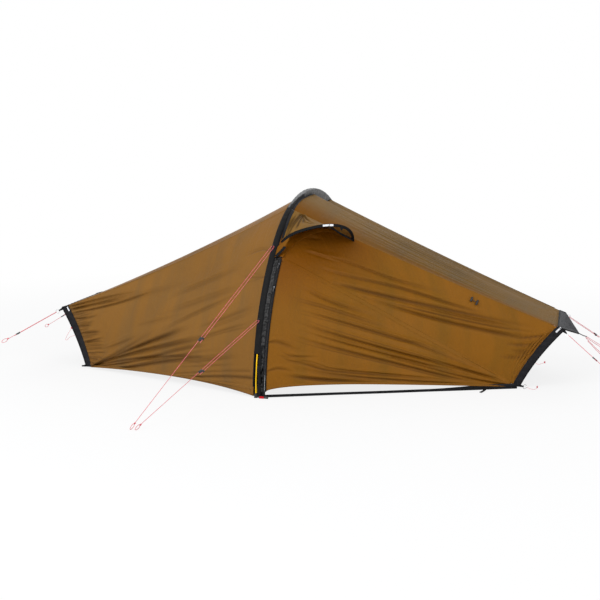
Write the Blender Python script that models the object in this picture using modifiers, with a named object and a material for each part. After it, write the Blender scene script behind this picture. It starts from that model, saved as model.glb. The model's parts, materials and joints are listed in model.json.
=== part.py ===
"""One-person tent, pitched on a single hoop pole with its guy lines taut.

Metres, +Z up. The ridge runs along X with the head end at +X, the door faces -Y,
and the underside of the groundsheet lies on the ground at Z = 0.
"""
import math

import bmesh
import bpy
from mathutils import Matrix, Vector

COLLECTION = "one_person_tent"
CUTTERS = "cutters"
UP = Vector((0, 0, 1))
OUT = Vector((0, -1, 0))

# Hoop: an arch of three arcs, its plane turned a little from square to the ridge
HOOP_HEIGHT = 1.0
HOOP_HALF_WIDTH = 0.808
CROWN_RADIUS = 0.68
HOOP_TURN = math.radians(8.1)
HOOP_SEGMENTS = 32
POLE_SECTIONS = 8
POLE_SIDES = 6

# Pole: sections that butt over their ferrules, thin tips, a shock cord inside, foot cups
POLE_RADIUS = 0.0045
POLE_WALL = 0.0008
FERRULE_RADIUS = 0.0036
JOINT_GAP = 0.0012
JOINT_CHAMFER = 0.0006
SHOCK_CORD_RADIUS = 0.0012
SHOCK_CORD_END = 0.014
TIP_RADIUS = 0.0027
TIP_LENGTH = 0.026
CUP_RADIUS = 0.0085
CUP_BORE = 0.0046
CUP_HEIGHT = 0.022
CUP_FLOOR = 0.004
CUP_FLARE = 1.15

# Sleeve round the pole, and the straps and buckles that tension it to the foot cups
SLEEVE_HALF_WIDTH = 0.015
SLEEVE_HALF_DEPTH = 0.0064
SLEEVE_WALL = 0.0008
SLEEVE_SIDES = 8
SLEEVE_START = 3
WEBBING = 0.0014
WEBBING_WIDTH = 0.015
STRAP_RISE = 0.0042
STRAP_FOOT = 0.008
BUCKLE_LENGTH = 0.026
BUCKLE_WIDTH = 0.023
BUCKLE_HEIGHT = 0.004
BUCKLE_RAIL = 0.003
BUCKLE_BEVEL = 0.0008
BUCKLE_PLACE = 0.150

# Fabric sheets
FABRIC = 0.0012
SEAM = 0.0006
HEM_HEIGHT = 0.008
HEM_LIFT = 0.017
CREASE_ANGLE = math.radians(61)
INWARD_SAG = 0.016
SIDE_FOLD = 0.010
DOOR_FOLD = 0.012

# Ends: where the pegged corners and the guyed corners stand
HEAD_LOW_X, HEAD_TOP_X, HEAD_TOP_Z = 1.180, 1.402, 0.313
FOOT_LOW_X, FOOT_TOP_X, FOOT_TOP_Z = 1.225, 1.373, 0.334
LOW_HALF_WIDTH = 0.300
TOP_HALF_WIDTH = 0.270
BAND_WIDTH = 0.040
HEAD_BOW, FOOT_BOW = 0.018, 0.012
HEAD_RIDGE_SAG, FOOT_RIDGE_SAG = 0.010, 0.028
WALL_TOP = 0.95
VISOR_REACH = 0.073
VISOR_DROP = 0.063
VISOR_TIP_HALF = 0.012
VISOR_KNOT = 0.040

# Corner tabs of webbing, folded round steel rings
TAB_SHARE = 0.034
TAB_REACH = 0.020
TAB_NECK = 0.004
RING_RADIUS = 0.011
RING_WIRE = 0.0015

# Door, zip and hood
ZIP_ALONG = 0.0465
CHAIN_WIDTH = 0.0038
CHAIN_GAP = 0.0006
CHAIN_LIFT = 0.0006
CHAIN_THICKNESS = 0.0022
ZIP_FOOT_ANGLE = math.radians(1.6)
ZIP_TOP_ANGLE = math.radians(37)
ZIP_TURN_SHARE = 0.62
ARCH_RISE = Vector((0.0447, 0.1594, 0.1243))
ARCH_DIP = Vector((-0.1556, 0.0399, 0.1199))
ARCH_END_SHARE = 0.19
ARCH_BELOW_SEAM = 0.016
DOOR_HEM_HEIGHT = 0.022
DOOR_HEM_LIFT = 0.030
DOOR_CORNER = 0.010
FOLD_GAP = 0.0016
UPPER_SLIDER_ANGLE = math.radians(35.0)
LOWER_SLIDER_ANGLE = math.radians(28.5)
SLIDER_LENGTH = 0.013
SLIDER_WIDTH = 0.009
SLIDER_HEIGHT = 0.0035
SLIDER_BEVEL = 0.001
PULL_LENGTH = 0.026
PULL_WIDTH = 0.005
PULL_HEIGHT = 0.0018
PULL_BEVEL = 0.0005
HOOD_REACH = 0.232
RIM_RADIUS = 0.0045
RIM_ANGLE = math.radians(42.5)
RIM_RISE = Vector((0.1649, -0.1837, 0.1060))
RIM_DIP = Vector((0.0769, -0.3794, 0.2556))
RIM_END_DROP = 0.020
HOOD_LIFT = 0.0024
HOOD_SWELL = 0.022
HOOD_CLEAR = 0.0035
TOGGLE_RADIUS = 0.0032
TOGGLE_LENGTH = 0.028
TOGGLE_SHARE = 0.619
TOGGLE_HEIGHT = 0.90

# Cord, guy lines and runners
CORD_RADIUS = 0.00125
CORD_GAP = 0.0004
BORE_GAP = 0.0005
STRAND_SPACING = 0.016
LOOP_LENGTH = 0.034
LOOP_HALF = 0.009
LINE_LOOP_RADIUS = 0.0075
LINE_LOOP_WIRE = 0.0014
LINE_LOOP_ALONG = -0.004
RUNNER_LENGTH = 0.024
RUNNER_THICKNESS = 0.0062
RUNNER_SHOULDER = 0.010
RUNNER_MARGIN = 0.0035
FRONT_PEG_ALONG = 0.503
FRONT_PEG_REACH = 0.742
FRONT_PEG_LOOP_HEIGHT = 0.006
FRONT_PEG_SPREAD = 0.012

# Strap that runs along the ground under the door
STRAP_HEIGHT = 0.014

# Inner tent
FLOOR_HALF_LENGTH = 1.06
FLOOR_END_HALF_WIDTH = 0.250
FLOOR_FRONT_Y = -0.290
FLOOR_BACK_Y = 0.640
FLOOR_WALL = 0.080
FLOOR_THICKNESS = 0.0016
FLOOR_LEAN = 0.012
INNER_CLEARANCE = 0.060
INNER_END_HEIGHT = 0.250
INNER_END_INSET = 0.030
INNER_END_SHARE = 0.6
INNER_FRONT_ANGLE = math.radians(66)
INNER_BACK_ANGLE = math.radians(171)
INNER_SAG = 0.020
INNER_DOOR_START_SHARE = 0.06
INNER_DOOR_END_SHARE = 0.60
INNER_DOOR_LOW_SHARE = 0.05
INNER_DOOR_HIGH_SHARE = 0.93
INNER_SLIDER_SHARE = 0.30
ELASTIC_RADIUS = 0.0014
ELASTIC_INSET = 0.020

# Worked out from the sizes above
ACROSS = Vector((math.sin(HOOP_TURN), math.cos(HOOP_TURN), 0))
ALONG = Vector((math.cos(HOOP_TURN), -math.sin(HOOP_TURN), 0))
LEG_RADIUS = ((HOOP_HALF_WIDTH ** 2 + HOOP_HEIGHT ** 2 - 2 * HOOP_HEIGHT * CROWN_RADIUS)
              / (2 * (HOOP_HALF_WIDTH - CROWN_RADIUS)))
LEG_SWEEP = math.atan2(HOOP_HEIGHT - CROWN_RADIUS, LEG_RADIUS - HOOP_HALF_WIDTH)
LEG_LENGTH = LEG_RADIUS * LEG_SWEEP
HOOP_LENGTH = 2 * LEG_LENGTH + CROWN_RADIUS * (math.pi - 2 * LEG_SWEEP)
HOOP_STEP = HOOP_LENGTH / HOOP_SEGMENTS
FRONT_PEG = Vector((-FRONT_PEG_ALONG, -(HOOP_HALF_WIDTH + FRONT_PEG_REACH), FRONT_PEG_LOOP_HEIGHT))
SLEEVE_EDGE = SLEEVE_HALF_WIDTH * math.cos(math.pi / SLEEVE_SIDES) + SEAM
SLEEVE_TOP = SLEEVE_HALF_DEPTH * math.cos(math.pi / SLEEVE_SIDES)
CHAIN_EDGE = CHAIN_GAP / 2 + CHAIN_WIDTH
STRAP_SIDE = CUP_RADIUS * CUP_FLARE + SEAM + WEBBING_WIDTH / 2
WALL_DROP = ELASTIC_RADIUS + SEAM + FABRIC / 2
TAB_LOOP = RING_WIRE + CORD_GAP + FABRIC / 2
LINE_BEND = STRAND_SPACING / 2
BEND_START = LINE_BEND - CORD_RADIUS - RING_WIRE - CORD_GAP


def lerp(a, b, t):
    """Value part of the way from a to b."""
    return a + (b - a) * t


def bezier(p0, p1, p2, p3, t):
    """Point of a cubic curve."""
    s = 1 - t
    return p0 * s ** 3 + p1 * 3 * s * s * t + p2 * 3 * s * t * t + p3 * t ** 3


def fractions(count, low=0.0, high=1.0):
    """Evenly spaced values from low to high."""
    return [lerp(low, high, i / count) for i in range(count + 1)]


def bump(x):
    """Rises from 0 at both ends of 0 to 1 to 1 in the middle."""
    return math.sin(math.pi * min(max(x, 0), 1))


def rim_fade(u, v, rate=8):
    """0 on all four edges of a sheet, 1 away from them."""
    return max(min(1, rate * u, rate * (1 - u), rate * v, rate * (1 - v)), 0)


# The hoop's line


def arch(angle, grow=0.0, along=0.0):
    """Point of the hoop where its outward normal stands at angle above the front."""
    if angle < LEG_SWEEP:
        centre, base, radius = LEG_RADIUS - HOOP_HALF_WIDTH, 0, LEG_RADIUS
    elif angle <= math.pi - LEG_SWEEP:
        centre, base, radius = 0, HOOP_HEIGHT - CROWN_RADIUS, CROWN_RADIUS
    else:
        centre, base, radius = HOOP_HALF_WIDTH - LEG_RADIUS, 0, LEG_RADIUS
    radius += grow
    return (ACROSS * (centre - radius * math.cos(angle)) + UP * (base + radius * math.sin(angle))
            + ALONG * along)


def arch_out(angle):
    """Outward direction of the hoop in its own plane."""
    return -ACROSS * math.cos(angle) + UP * math.sin(angle)


def arch_tangent(angle):
    """Direction along the hoop, from the front foot to the back one."""
    return ACROSS * math.sin(angle) + UP * math.cos(angle)


def angle_at(length):
    """Arch angle at a length measured along the pole from the front foot."""
    if length < LEG_LENGTH:
        return length / LEG_RADIUS
    if length <= HOOP_LENGTH - LEG_LENGTH:
        return LEG_SWEEP + (length - LEG_LENGTH) / CROWN_RADIUS
    return math.pi - (HOOP_LENGTH - length) / LEG_RADIUS


def length_at(angle):
    """Length along the pole at an arch angle."""
    if angle < LEG_SWEEP:
        return angle * LEG_RADIUS
    if angle <= math.pi - LEG_SWEEP:
        return LEG_LENGTH + (angle - LEG_SWEEP) * CROWN_RADIUS
    return HOOP_LENGTH - (math.pi - angle) * LEG_RADIUS


def hoop_line(length, grow=0.0, along=0.0):
    """Point on the straight-sided line that every piece on the pole follows."""
    place = min(max(length / HOOP_STEP, 0), HOOP_SEGMENTS)
    first = min(int(place), HOOP_SEGMENTS - 1)
    start = arch(angle_at(first * HOOP_STEP), grow, along)
    end = arch(angle_at((first + 1) * HOOP_STEP), grow, along)
    return start.lerp(end, place - first)


# Ends of the tent


class End:
    """Corners and edge curves of one end of the tent."""

    def __init__(self, name, side, low_x, top_x, top_z, bow, sag):
        self.name, self.side, self.bow, self.sag = name, side, bow, sag
        self.low_x, self.top_x, self.top_z = low_x, top_x, top_z

    def low(self, face=-1):
        """Pegged corner on the front, face -1, or the back, face 1."""
        return Vector((self.side * self.low_x, face * LOW_HALF_WIDTH, HEM_HEIGHT))

    def top(self, face=-1):
        """Guyed corner."""
        return Vector((self.side * self.top_x, face * TOP_HALF_WIDTH, self.top_z))

    def edge(self, height, face=-1):
        """Outer edge of the end band, bowed in towards the hoop."""
        inward = Vector((-self.side * self.bow * 4 * height * (1 - height), 0, 0))
        return self.low(face).lerp(self.top(face), height) + inward

    def ruling(self, share, height, face=-1):
        """Line of a side from the sleeve, share 0, to the band's outer edge, share 1."""
        angle = lerp(ZIP_FOOT_ANGLE, CREASE_ANGLE, height)
        if face > 0:
            angle = math.pi - angle
        start = arch(angle, 0, self.side * SLEEVE_EDGE)
        sag = lerp(-HEM_LIFT, self.sag, height)
        return start.lerp(self.edge(height, face), share) - UP * (sag * 4 * share * (1 - share))

    def ruling_length(self, height, face=-1):
        """Straight length of a side's line."""
        return (self.ruling(1, height, face) - self.ruling(0, height, face)).length

    def crease(self, share, face=-1):
        """Shoulder seam between a side and the roof."""
        return self.ruling(share, 1, face)

    def band(self, across, height, face=-1):
        """Point of the end band, across metres in from its outer edge."""
        return self.ruling(1 - across / self.ruling_length(height, face), height, face)

    def side_panel(self, share, height, face=-1):
        """Point of a side panel, from the sleeve to the band's inner edge."""
        stop = 1 - (BAND_WIDTH + SEAM) / self.ruling_length(height, face)
        return self.ruling(share * stop, height, face)

    def roof(self, share, over):
        """Point of the roof from the sleeve to the visor's seam; over runs front to back."""
        angle = lerp(CREASE_ANGLE, math.pi - CREASE_ANGLE, over)
        start = arch(angle, 0, self.side * SLEEVE_EDGE)
        finish = self.top(-1).lerp(self.top(1), over)
        t = share * (1 - (BAND_WIDTH + SEAM) / (finish - start).length)
        return start.lerp(finish, t) - UP * (self.sag * 4 * t * (1 - t))

    def end_wall(self, over, height):
        """Point of the mesh wall between the two bands, just outside their edges."""
        slip = Vector((self.side * (SEAM + FABRIC / 2), SEAM + FABRIC / 2, 0))
        front = self.edge(height * WALL_TOP, -1) + slip
        slip.y = -slip.y
        return front.lerp(self.edge(height * WALL_TOP, 1) + slip, over)

    def visor_tip(self):
        """Point where the visor is drawn out."""
        return Vector((self.side * (self.top_x + VISOR_REACH), 0, self.top_z - VISOR_DROP))

    def visor(self, over, out):
        """Point of the visor: out 0 at its seam on the roof, 1 at its drawn-out tip."""
        bend = 0.34
        slip = Vector((self.side * (FABRIC + SEAM) / 2, 0, 0))
        lift = UP * (FABRIC + SEAM)
        seam_front = self.roof(1, 0) + slip
        seam_back = self.roof(1, 1) + slip
        front, back = self.top(-1) + lift + slip, self.top(1) + lift + slip
        tip = self.visor_tip()
        half = Vector((0, VISOR_TIP_HALF, 0))
        if out < bend:
            t = out / bend
            return seam_front.lerp(front, t).lerp(seam_back.lerp(back, t), over)
        t = (out - bend) / (1 - bend)
        return front.lerp(tip - half, t).lerp(back.lerp(tip + half, t), over)

    def pull(self, face, top):
        """Direction in which a corner is pulled."""
        if not top:
            return Vector((self.side * 0.82, face * 0.57, 0)).normalized()
        swing, drop = (math.radians(a) for a in TOP_SWING[(self.name, face)])
        level = Vector((self.side * math.cos(swing), face * math.sin(swing), 0))
        return level * math.cos(drop) - UP * math.sin(drop)

    def tab_span(self, top):
        """Heights between which a tab is sewn to the band."""
        return (1 - TAB_SHARE, 1.0) if top else (0.0, TAB_SHARE)

    def tab_frame(self, face, top):
        """Frame of a tab: X along the pull, Y along its width, at the middle of its seam."""
        low, high = (self.band(0, h, face) for h in self.tab_span(top))
        x = self.pull(face, top)
        y = (high - low) - x * (high - low).dot(x)
        y.normalize()
        rows = Matrix((x, y, x.cross(y)))
        return Matrix.Translation((low + high) / 2) @ rows.transposed().to_4x4()

    def ring_frame(self, face, top):
        """Frame of a ring: its middle, with Z along its axis."""
        return self.tab_frame(face, top) @ Matrix.Translation((TAB_REACH + RING_RADIUS, 0, 0))


# Swing in plan and drop of each guy line, in degrees
TOP_SWING = {("foot", -1): (40, 25), ("foot", 1): (30, 26), ("head", -1): (40, 29), ("head", 1): (40, 31)}
HEAD = End("head", 1, HEAD_LOW_X, HEAD_TOP_X, HEAD_TOP_Z, HEAD_BOW, HEAD_RIDGE_SAG)
FOOT = End("foot", -1, FOOT_LOW_X, FOOT_TOP_X, FOOT_TOP_Z, FOOT_BOW, FOOT_RIDGE_SAG)

# Door fold: the line from the pegged head corner to the top of the hoop's zip
LEG_CORNER = arch(ZIP_TOP_ANGLE, 0, ZIP_ALONG)
FOLD_FOOT = HEAD.band(BAND_WIDTH + SEAM, 0) + UP * (DOOR_HEM_HEIGHT - HEM_HEIGHT)
FOLD_TOP = arch(ZIP_TOP_ANGLE, 0, ZIP_ALONG + CHAIN_EDGE + SEAM)
ZIP_FOOT = arch(ZIP_FOOT_ANGLE, 0, ZIP_ALONG)
FOLD_AXIS = (FOLD_TOP - FOLD_FOOT).normalized()
DOOR_NORMAL = FOLD_AXIS.cross(ZIP_FOOT - FOLD_FOOT).normalized()
FOLD_DOWN = DOOR_NORMAL.cross(FOLD_AXIS).normalized()
SHOULDER_AXIS = (HEAD.crease(1) - HEAD.crease(0)).normalized()
PANEL_NORMAL = (HEAD.crease(0.3) - FOLD_FOOT).cross(FOLD_AXIS).normalized()
PANEL_DOWN = SHOULDER_AXIS.cross(PANEL_NORMAL).normalized()
HINGE_POINT = HEAD.crease(ARCH_END_SHARE) + PANEL_DOWN * ARCH_BELOW_SEAM

# Stations shared by the pieces that meet along the zip and along the bands
LEG_STATIONS = fractions(14, 0, ZIP_TURN_SHARE)
ARCH_STATIONS = fractions(10, ZIP_TURN_SHARE, 0.97)
BAND_HEIGHTS = [0.0, TAB_SHARE, 0.2, 0.4, 0.6, 0.8, 1 - TAB_SHARE, 1.0]
ARCH_SHARE, SEAM_SHARE = 0.20, 0.88


# Materials


def material(name, colour, roughness, metallic=0.0):
    """A plain Principled material, made once."""
    found = bpy.data.materials.get(name)
    if found:
        return found
    made = bpy.data.materials.new(name)
    made.use_nodes = True
    shader = made.node_tree.nodes["Principled BSDF"]
    shader.inputs["Base Color"].default_value = (*colour, 1)
    shader.inputs["Roughness"].default_value = roughness
    shader.inputs["Metallic"].default_value = metallic
    return made


def skin_cloth():
    """Brown ripstop of the outer tent."""
    return material("ripstop_nylon", (0.305, 0.160, 0.045), 0.55)


def black_web():
    """Black webbing and binding."""
    return material("black_webbing", (0.014, 0.014, 0.016), 0.75)


def grey_cloth():
    """Grey coated cloth of the sleeve, visors and groundsheet."""
    return material("grey_coated_nylon", (0.07, 0.07, 0.075), 0.6)


def gold_alloy():
    """Gold anodised pole tube."""
    return material("gold_anodised_alloy", (0.95, 0.62, 0.03), 0.3, 1.0)


def steel():
    """Bright steel of rings and sliders."""
    return material("polished_steel", (0.62, 0.62, 0.62), 0.25, 1.0)


def black_plastic():
    """Moulded black fittings."""
    return material("black_acetal", (0.012, 0.012, 0.013), 0.45)


def pink_cord():
    """Red and white braided cord."""
    return material("red_white_cord", (0.80, 0.22, 0.24), 0.8)


def inner_cloth():
    """Cream cloth of the inner tent."""
    return material("cream_inner_nylon", (0.62, 0.54, 0.40), 0.6)


def dark_mesh():
    """Dark netting."""
    return material("dark_mesh", (0.03, 0.03, 0.03), 0.8)


# Ways of making a piece


def add_object(name, data, finish):
    """Links a new object that carries one material."""
    made = bpy.data.objects.new(name, data)
    data.materials.append(finish)
    bpy.data.collections[COLLECTION].objects.link(made)
    return made


def placed(name, data, finish, place):
    """An object set down at a place."""
    made = add_object(name, data, finish)
    made.matrix_world = place
    return made


def thicken(made, thickness, offset=0.0):
    """Gives an open surface its wall."""
    solid = made.modifiers.new("thickness", "SOLIDIFY")
    solid.thickness = thickness
    solid.offset = offset
    solid.use_even_offset = True


def sheet(name, rows, finish, thickness=FABRIC, closed=False, offset=0.0, skip=None, tabs=()):
    """A sheet of cloth from a grid of points; closed joins each row's last point to its first.

    skip(i, j) leaves a cell open, and each tab is an edge of the grid with the rows that go on
    from it."""
    width = len(rows[0])
    points = [p for row in rows for p in row]
    span = width if closed else width - 1
    faces = []
    for i in range(len(rows) - 1):
        for j in range(span):
            if skip and skip(i, j):
                continue
            k = (j + 1) % width
            faces.append((i * width + j, i * width + k, (i + 1) * width + k, (i + 1) * width + j))
    for (first, second), pairs in tabs:
        a, b = first, second
        for pair in pairs:
            points.extend(pair)
            c, d = len(points) - 2, len(points) - 1
            faces.append((a, b, d, c))
            a, b = c, d
    mesh = bpy.data.meshes.new(name)
    mesh.from_pydata([tuple(p) for p in points], [], faces)
    mesh.shade_smooth()
    made = add_object(name, mesh, finish)
    thicken(made, thickness, offset)
    return made


def surface_rows(point, across, up, relief=None):
    """Rows of a surface given by point(u, v), moved along its outward normal by relief(u, v)."""
    step = 1e-3
    rows = []
    for v in up:
        row = []
        for u in across:
            p = point(u, v)
            if relief is not None:
                du = point(min(u + step, 1), v) - point(max(u - step, 0), v)
                dv = point(u, min(v + step, 1)) - point(u, max(v - step, 0))
                normal = du.cross(dv).normalized()
                if normal.y * p.y + normal.z * p.z < 0:
                    normal.negate()
                p = p + normal * relief(u, v)
            row.append(p)
        rows.append(row)
    return rows


def cord(name, points, radius, finish, resolution=2):
    """A round cord or rod along a line of points."""
    curve = bpy.data.curves.new(name, "CURVE")
    curve.dimensions = "3D"
    curve.bevel_depth = radius
    curve.bevel_resolution = resolution
    curve.use_fill_caps = True
    spline = curve.splines.new("POLY")
    spline.points.add(len(points) - 1)
    for slot, p in zip(spline.points, points):
        slot.co = (*p, 1)
    return add_object(name, curve, finish)


def smooth_route(stops, per_stop):
    """Points of a smooth curve through a route's own stops."""
    ends = [stops[0] * 2 - stops[1], *stops, stops[-1] * 2 - stops[-2]]
    points = []
    for a, b, c, d in zip(ends, ends[1:], ends[2:], ends[3:]):
        for k in range(per_stop):
            t = k / per_stop
            points.append((b * 2 + (c - a) * t + (a * 2 - b * 5 + c * 4 - d) * t ** 2
                           + (b * 3 - a - c * 3 + d) * t ** 3) / 2)
    points.append(stops[-1])
    return points


def box_mesh(name, size, bevel=0.0, shift=(0, 0, 0)):
    """Box with softened edges, its middle at shift."""
    shape = bmesh.new()
    bmesh.ops.create_cube(shape, size=1, matrix=Matrix.Diagonal((*size, 1)))
    if bevel:
        bmesh.ops.bevel(shape, geom=shape.edges[:], offset=bevel, segments=1, affect="EDGES")
    bmesh.ops.translate(shape, verts=shape.verts, vec=shift)
    return shape_mesh(name, shape)


def rod_mesh(name, start, end, radius, sides=6):
    """Closed rod between two points."""
    axis = (end - start).normalized()
    turn = UP.rotation_difference(axis).to_matrix().to_4x4()
    shape = bmesh.new()
    bmesh.ops.create_cone(shape, cap_ends=True, segments=sides, radius1=radius, radius2=radius,
                          depth=(end - start).length, matrix=Matrix.Translation((start + end) / 2) @ turn)
    return shape_mesh(name, shape)


def ring_mesh(name, radius, wire):
    """Torus about Z."""
    bpy.ops.mesh.primitive_torus_add(major_segments=12, minor_segments=6, major_radius=radius,
                                     minor_radius=wire)
    made = bpy.context.object
    mesh = made.data
    mesh.name = name
    bpy.data.objects.remove(made)
    return mesh


def frame_at(origin, x_axis, z_hint):
    """Matrix with its X along x_axis and its Z as near z_hint as it can be."""
    x = x_axis.normalized()
    y = z_hint.cross(x).normalized()
    return Matrix.Translation(origin) @ Matrix((x, y, x.cross(y))).transposed().to_4x4()


def shape_mesh(name, shape):
    """Turns a closed bmesh into a mesh with its faces pointing out."""
    bmesh.ops.recalc_face_normals(shape, faces=shape.faces)
    mesh = bpy.data.meshes.new(name)
    shape.to_mesh(mesh)
    shape.free()
    return mesh


def combine(target, mesh, name, place, operation="DIFFERENCE"):
    """Takes a mesh out of an object, or joins it on, with a Boolean."""
    other = bpy.data.objects.new(name, mesh)
    bpy.data.collections[CUTTERS].objects.link(other)
    other.matrix_world = place
    other.hide_render = True
    other.display_type = "WIRE"
    change = target.modifiers.new(name, "BOOLEAN")
    change.operation = operation
    change.object = other


# Pole


def pole_stations():
    """Lengths along the pole with the tube's radius at each."""
    per_section = HOOP_SEGMENTS // POLE_SECTIONS
    half = JOINT_GAP / 2
    start = CUP_FLOOR + CORD_GAP
    stations = [(start, TIP_RADIUS), (TIP_LENGTH - JOINT_CHAMFER, TIP_RADIUS), (TIP_LENGTH, POLE_RADIUS)]
    for k in range(1, HOOP_SEGMENTS):
        middle = k * HOOP_STEP
        if k % per_section:
            stations.append((middle, POLE_RADIUS))
            continue
        stations += [(middle - half - JOINT_CHAMFER, POLE_RADIUS), (middle - half, FERRULE_RADIUS),
                     (middle + half, FERRULE_RADIUS), (middle + half + JOINT_CHAMFER, POLE_RADIUS)]
    stations += [(HOOP_LENGTH - length, radius) for length, radius in reversed(stations[:3])]
    return stations


def round_row(length, radius, sides):
    """Ring of points round the pole's line."""
    out = arch_out(angle_at(length))
    middle = hoop_line(length)
    row = []
    for j in range(sides):
        turn = 2 * math.pi * j / sides
        row.append(middle - out * (radius * math.sin(turn)) + ALONG * (radius * math.cos(turn)))
    return row


def build_pole():
    """Pole tube with its section joints and tips, and the shock cord inside it."""
    rows = [round_row(length, radius, POLE_SIDES) for length, radius in pole_stations()]
    sheet("pole", rows, gold_alloy(), POLE_WALL, closed=True, offset=-1.0)
    line = [hoop_line(SHOCK_CORD_END), *(hoop_line(k * HOOP_STEP) for k in range(1, HOOP_SEGMENTS)),
            hoop_line(HOOP_LENGTH - SHOCK_CORD_END)]
    cord("shock_cord", line, SHOCK_CORD_RADIUS, black_web(), 1)


def line_loop_frame(line):
    """Frame of the small loop on the sleeve that holds a front guy line."""
    return line.place @ Matrix.Translation((-LINE_LOOP_RADIUS, 0, 0))


def build_sleeve(lines):
    """Flat tube of cloth round the pole, open at both ends, with its two small line loops."""
    rows = []
    for k in range(SLEEVE_START, HOOP_SEGMENTS - SLEEVE_START + 1):
        angle = angle_at(k * HOOP_STEP)
        row = []
        for j in range(SLEEVE_SIDES):
            turn = 2 * math.pi * (j + 0.5) / SLEEVE_SIDES
            row.append(arch(angle, -SLEEVE_HALF_DEPTH * math.sin(turn), SLEEVE_HALF_WIDTH * math.cos(turn)))
        rows.append(row)
    sleeve = sheet("pole_sleeve", rows, grey_cloth(), SLEEVE_WALL, closed=True, offset=-1.0)
    for line in lines[:2]:
        label = f"{line.name}_line_loop"
        combine(sleeve, ring_mesh(label, LINE_LOOP_RADIUS, LINE_LOOP_WIRE), label, line_loop_frame(line),
                "UNION")


def build_cup(name, place):
    """Turned foot cup with a blind bore, standing on the ground."""
    profile = [(0, 0), (CUP_RADIUS * CUP_FLARE, 0), (CUP_RADIUS, CUP_HEIGHT), (CUP_BORE, CUP_HEIGHT),
               (CUP_BORE, CUP_FLOOR), (0, CUP_FLOOR)]
    mesh = bpy.data.meshes.new(name)
    mesh.from_pydata([(radius, 0, height) for radius, height in profile],
                     [(k, k + 1) for k in range(len(profile) - 1)], [])
    turned = placed(name, mesh, black_plastic(), place).modifiers.new("turned", "SCREW")
    turned.steps = turned.render_steps = 16
    turned.use_merge_vertices = True
    turned.merge_threshold = 1e-4
    turned.use_normal_flip = True


def foot_line(length, grow, across, back):
    """Point beside the pole near either foot."""
    if back:
        return hoop_line(HOOP_LENGTH - length, grow, -across)
    return hoop_line(length, grow, across)


def build_feet():
    """Cups under the pole, and the straps and buckles that tension the sleeve to them."""
    for name, back in (("front", False), ("back", True)):
        foot = arch(math.pi if back else 0)
        build_cup(f"{name}_foot_cup", Matrix.Translation((foot.x, foot.y, 0)))
        rows = []
        for length in fractions(6, STRAP_FOOT, SLEEVE_START * HOOP_STEP):
            rows.append([foot_line(length, STRAP_RISE, STRAP_SIDE + side * WEBBING_WIDTH, back)
                         for side in (-0.5, 0.5)])
        sheet(f"{name}_foot_strap", rows, black_web(), WEBBING)
        build_buckle(f"{name}_foot_buckle", back)


def build_buckle(name, back):
    """Ladder-lock buckle: a frame with a middle bar, lying on its strap."""
    rise = STRAP_RISE + WEBBING / 2 + SEAM + BUCKLE_HEIGHT / 2
    centre = foot_line(BUCKLE_PLACE, rise, STRAP_SIDE, back)
    tangent = foot_line(BUCKLE_PLACE + 0.01, rise, STRAP_SIDE, back) - centre
    angle = angle_at(HOOP_LENGTH - BUCKLE_PLACE if back else BUCKLE_PLACE)
    place = frame_at(centre, tangent, arch_out(angle))
    frame = placed(name, box_mesh(name, (BUCKLE_LENGTH, BUCKLE_WIDTH, BUCKLE_HEIGHT), BUCKLE_BEVEL),
                   black_plastic(), place)
    slot = (BUCKLE_LENGTH - 3 * BUCKLE_RAIL) / 2
    for index, side in enumerate((-1, 1)):
        label = f"{name}_window_{index}"
        window = box_mesh(label, (slot, BUCKLE_WIDTH - 2 * BUCKLE_RAIL, BUCKLE_HEIGHT * 3),
                          shift=(side * (slot + BUCKLE_RAIL) / 2, 0, 0))
        combine(frame, window, label, place)


# Skin


def side_relief(share, height):
    """Inward curve of a side with the folds that fan from the pegged corner."""
    run, rise = (1 - share) * 1.3, height * 0.45
    spread = math.atan2(rise, run + 1e-6) / (math.pi / 2)
    reach = math.hypot(run, rise)
    folds = math.sin(2 * math.pi * 4.5 * spread) * bump(spread) * math.exp(-1.6 * reach)
    return rim_fade(share, height) * SIDE_FOLD * folds - INWARD_SAG * bump(share) * bump(height)


def build_sides():
    """The three plain sides and the two roofs."""
    top = 1 - SEAM / HOOP_HEIGHT
    for label, end, face in (("foot_front_panel", FOOT, -1), ("foot_back_panel", FOOT, 1),
                             ("head_back_panel", HEAD, 1)):
        rows = surface_rows(lambda u, v: end.side_panel(u, v, face), fractions(15), fractions(11, 0, top),
                            side_relief)
        sheet(label, rows, skin_cloth())
    trim = (SEAM + FABRIC) / TOP_HALF_WIDTH / 2
    for end in (FOOT, HEAD):
        rows = surface_rows(end.roof, fractions(12), fractions(8, trim, 1 - trim))
        sheet(f"{end.name}_roof_panel", rows, skin_cloth())


def tab_pairs(end, face, top):
    """Rows of a webbing tab, from its seam on the band round the ring and back."""
    place = end.tab_frame(face, top)
    low, high = (end.band(0, h, face) for h in end.tab_span(top))
    half = (high - low).length / 2
    bow = RING_RADIUS - math.sqrt(RING_RADIUS ** 2 - TAB_NECK ** 2)
    path = [(TAB_REACH * 0.3, FABRIC), (TAB_REACH - 2 * RING_WIRE, TAB_LOOP)]
    for turn in fractions(6, math.radians(80), math.radians(-80)):
        path.append((TAB_REACH + bow + TAB_LOOP * math.cos(turn), TAB_LOOP * math.sin(turn)))
    path += [(TAB_REACH - 2 * RING_WIRE, -TAB_LOOP), (TAB_REACH * 0.3, -FABRIC)]
    pairs = []
    for x, z in path:
        side = half if x < TAB_REACH / 2 else TAB_NECK
        pairs.append((place @ Vector((x, -side, z)), place @ Vector((x, side, z))))
    return pairs


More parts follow.
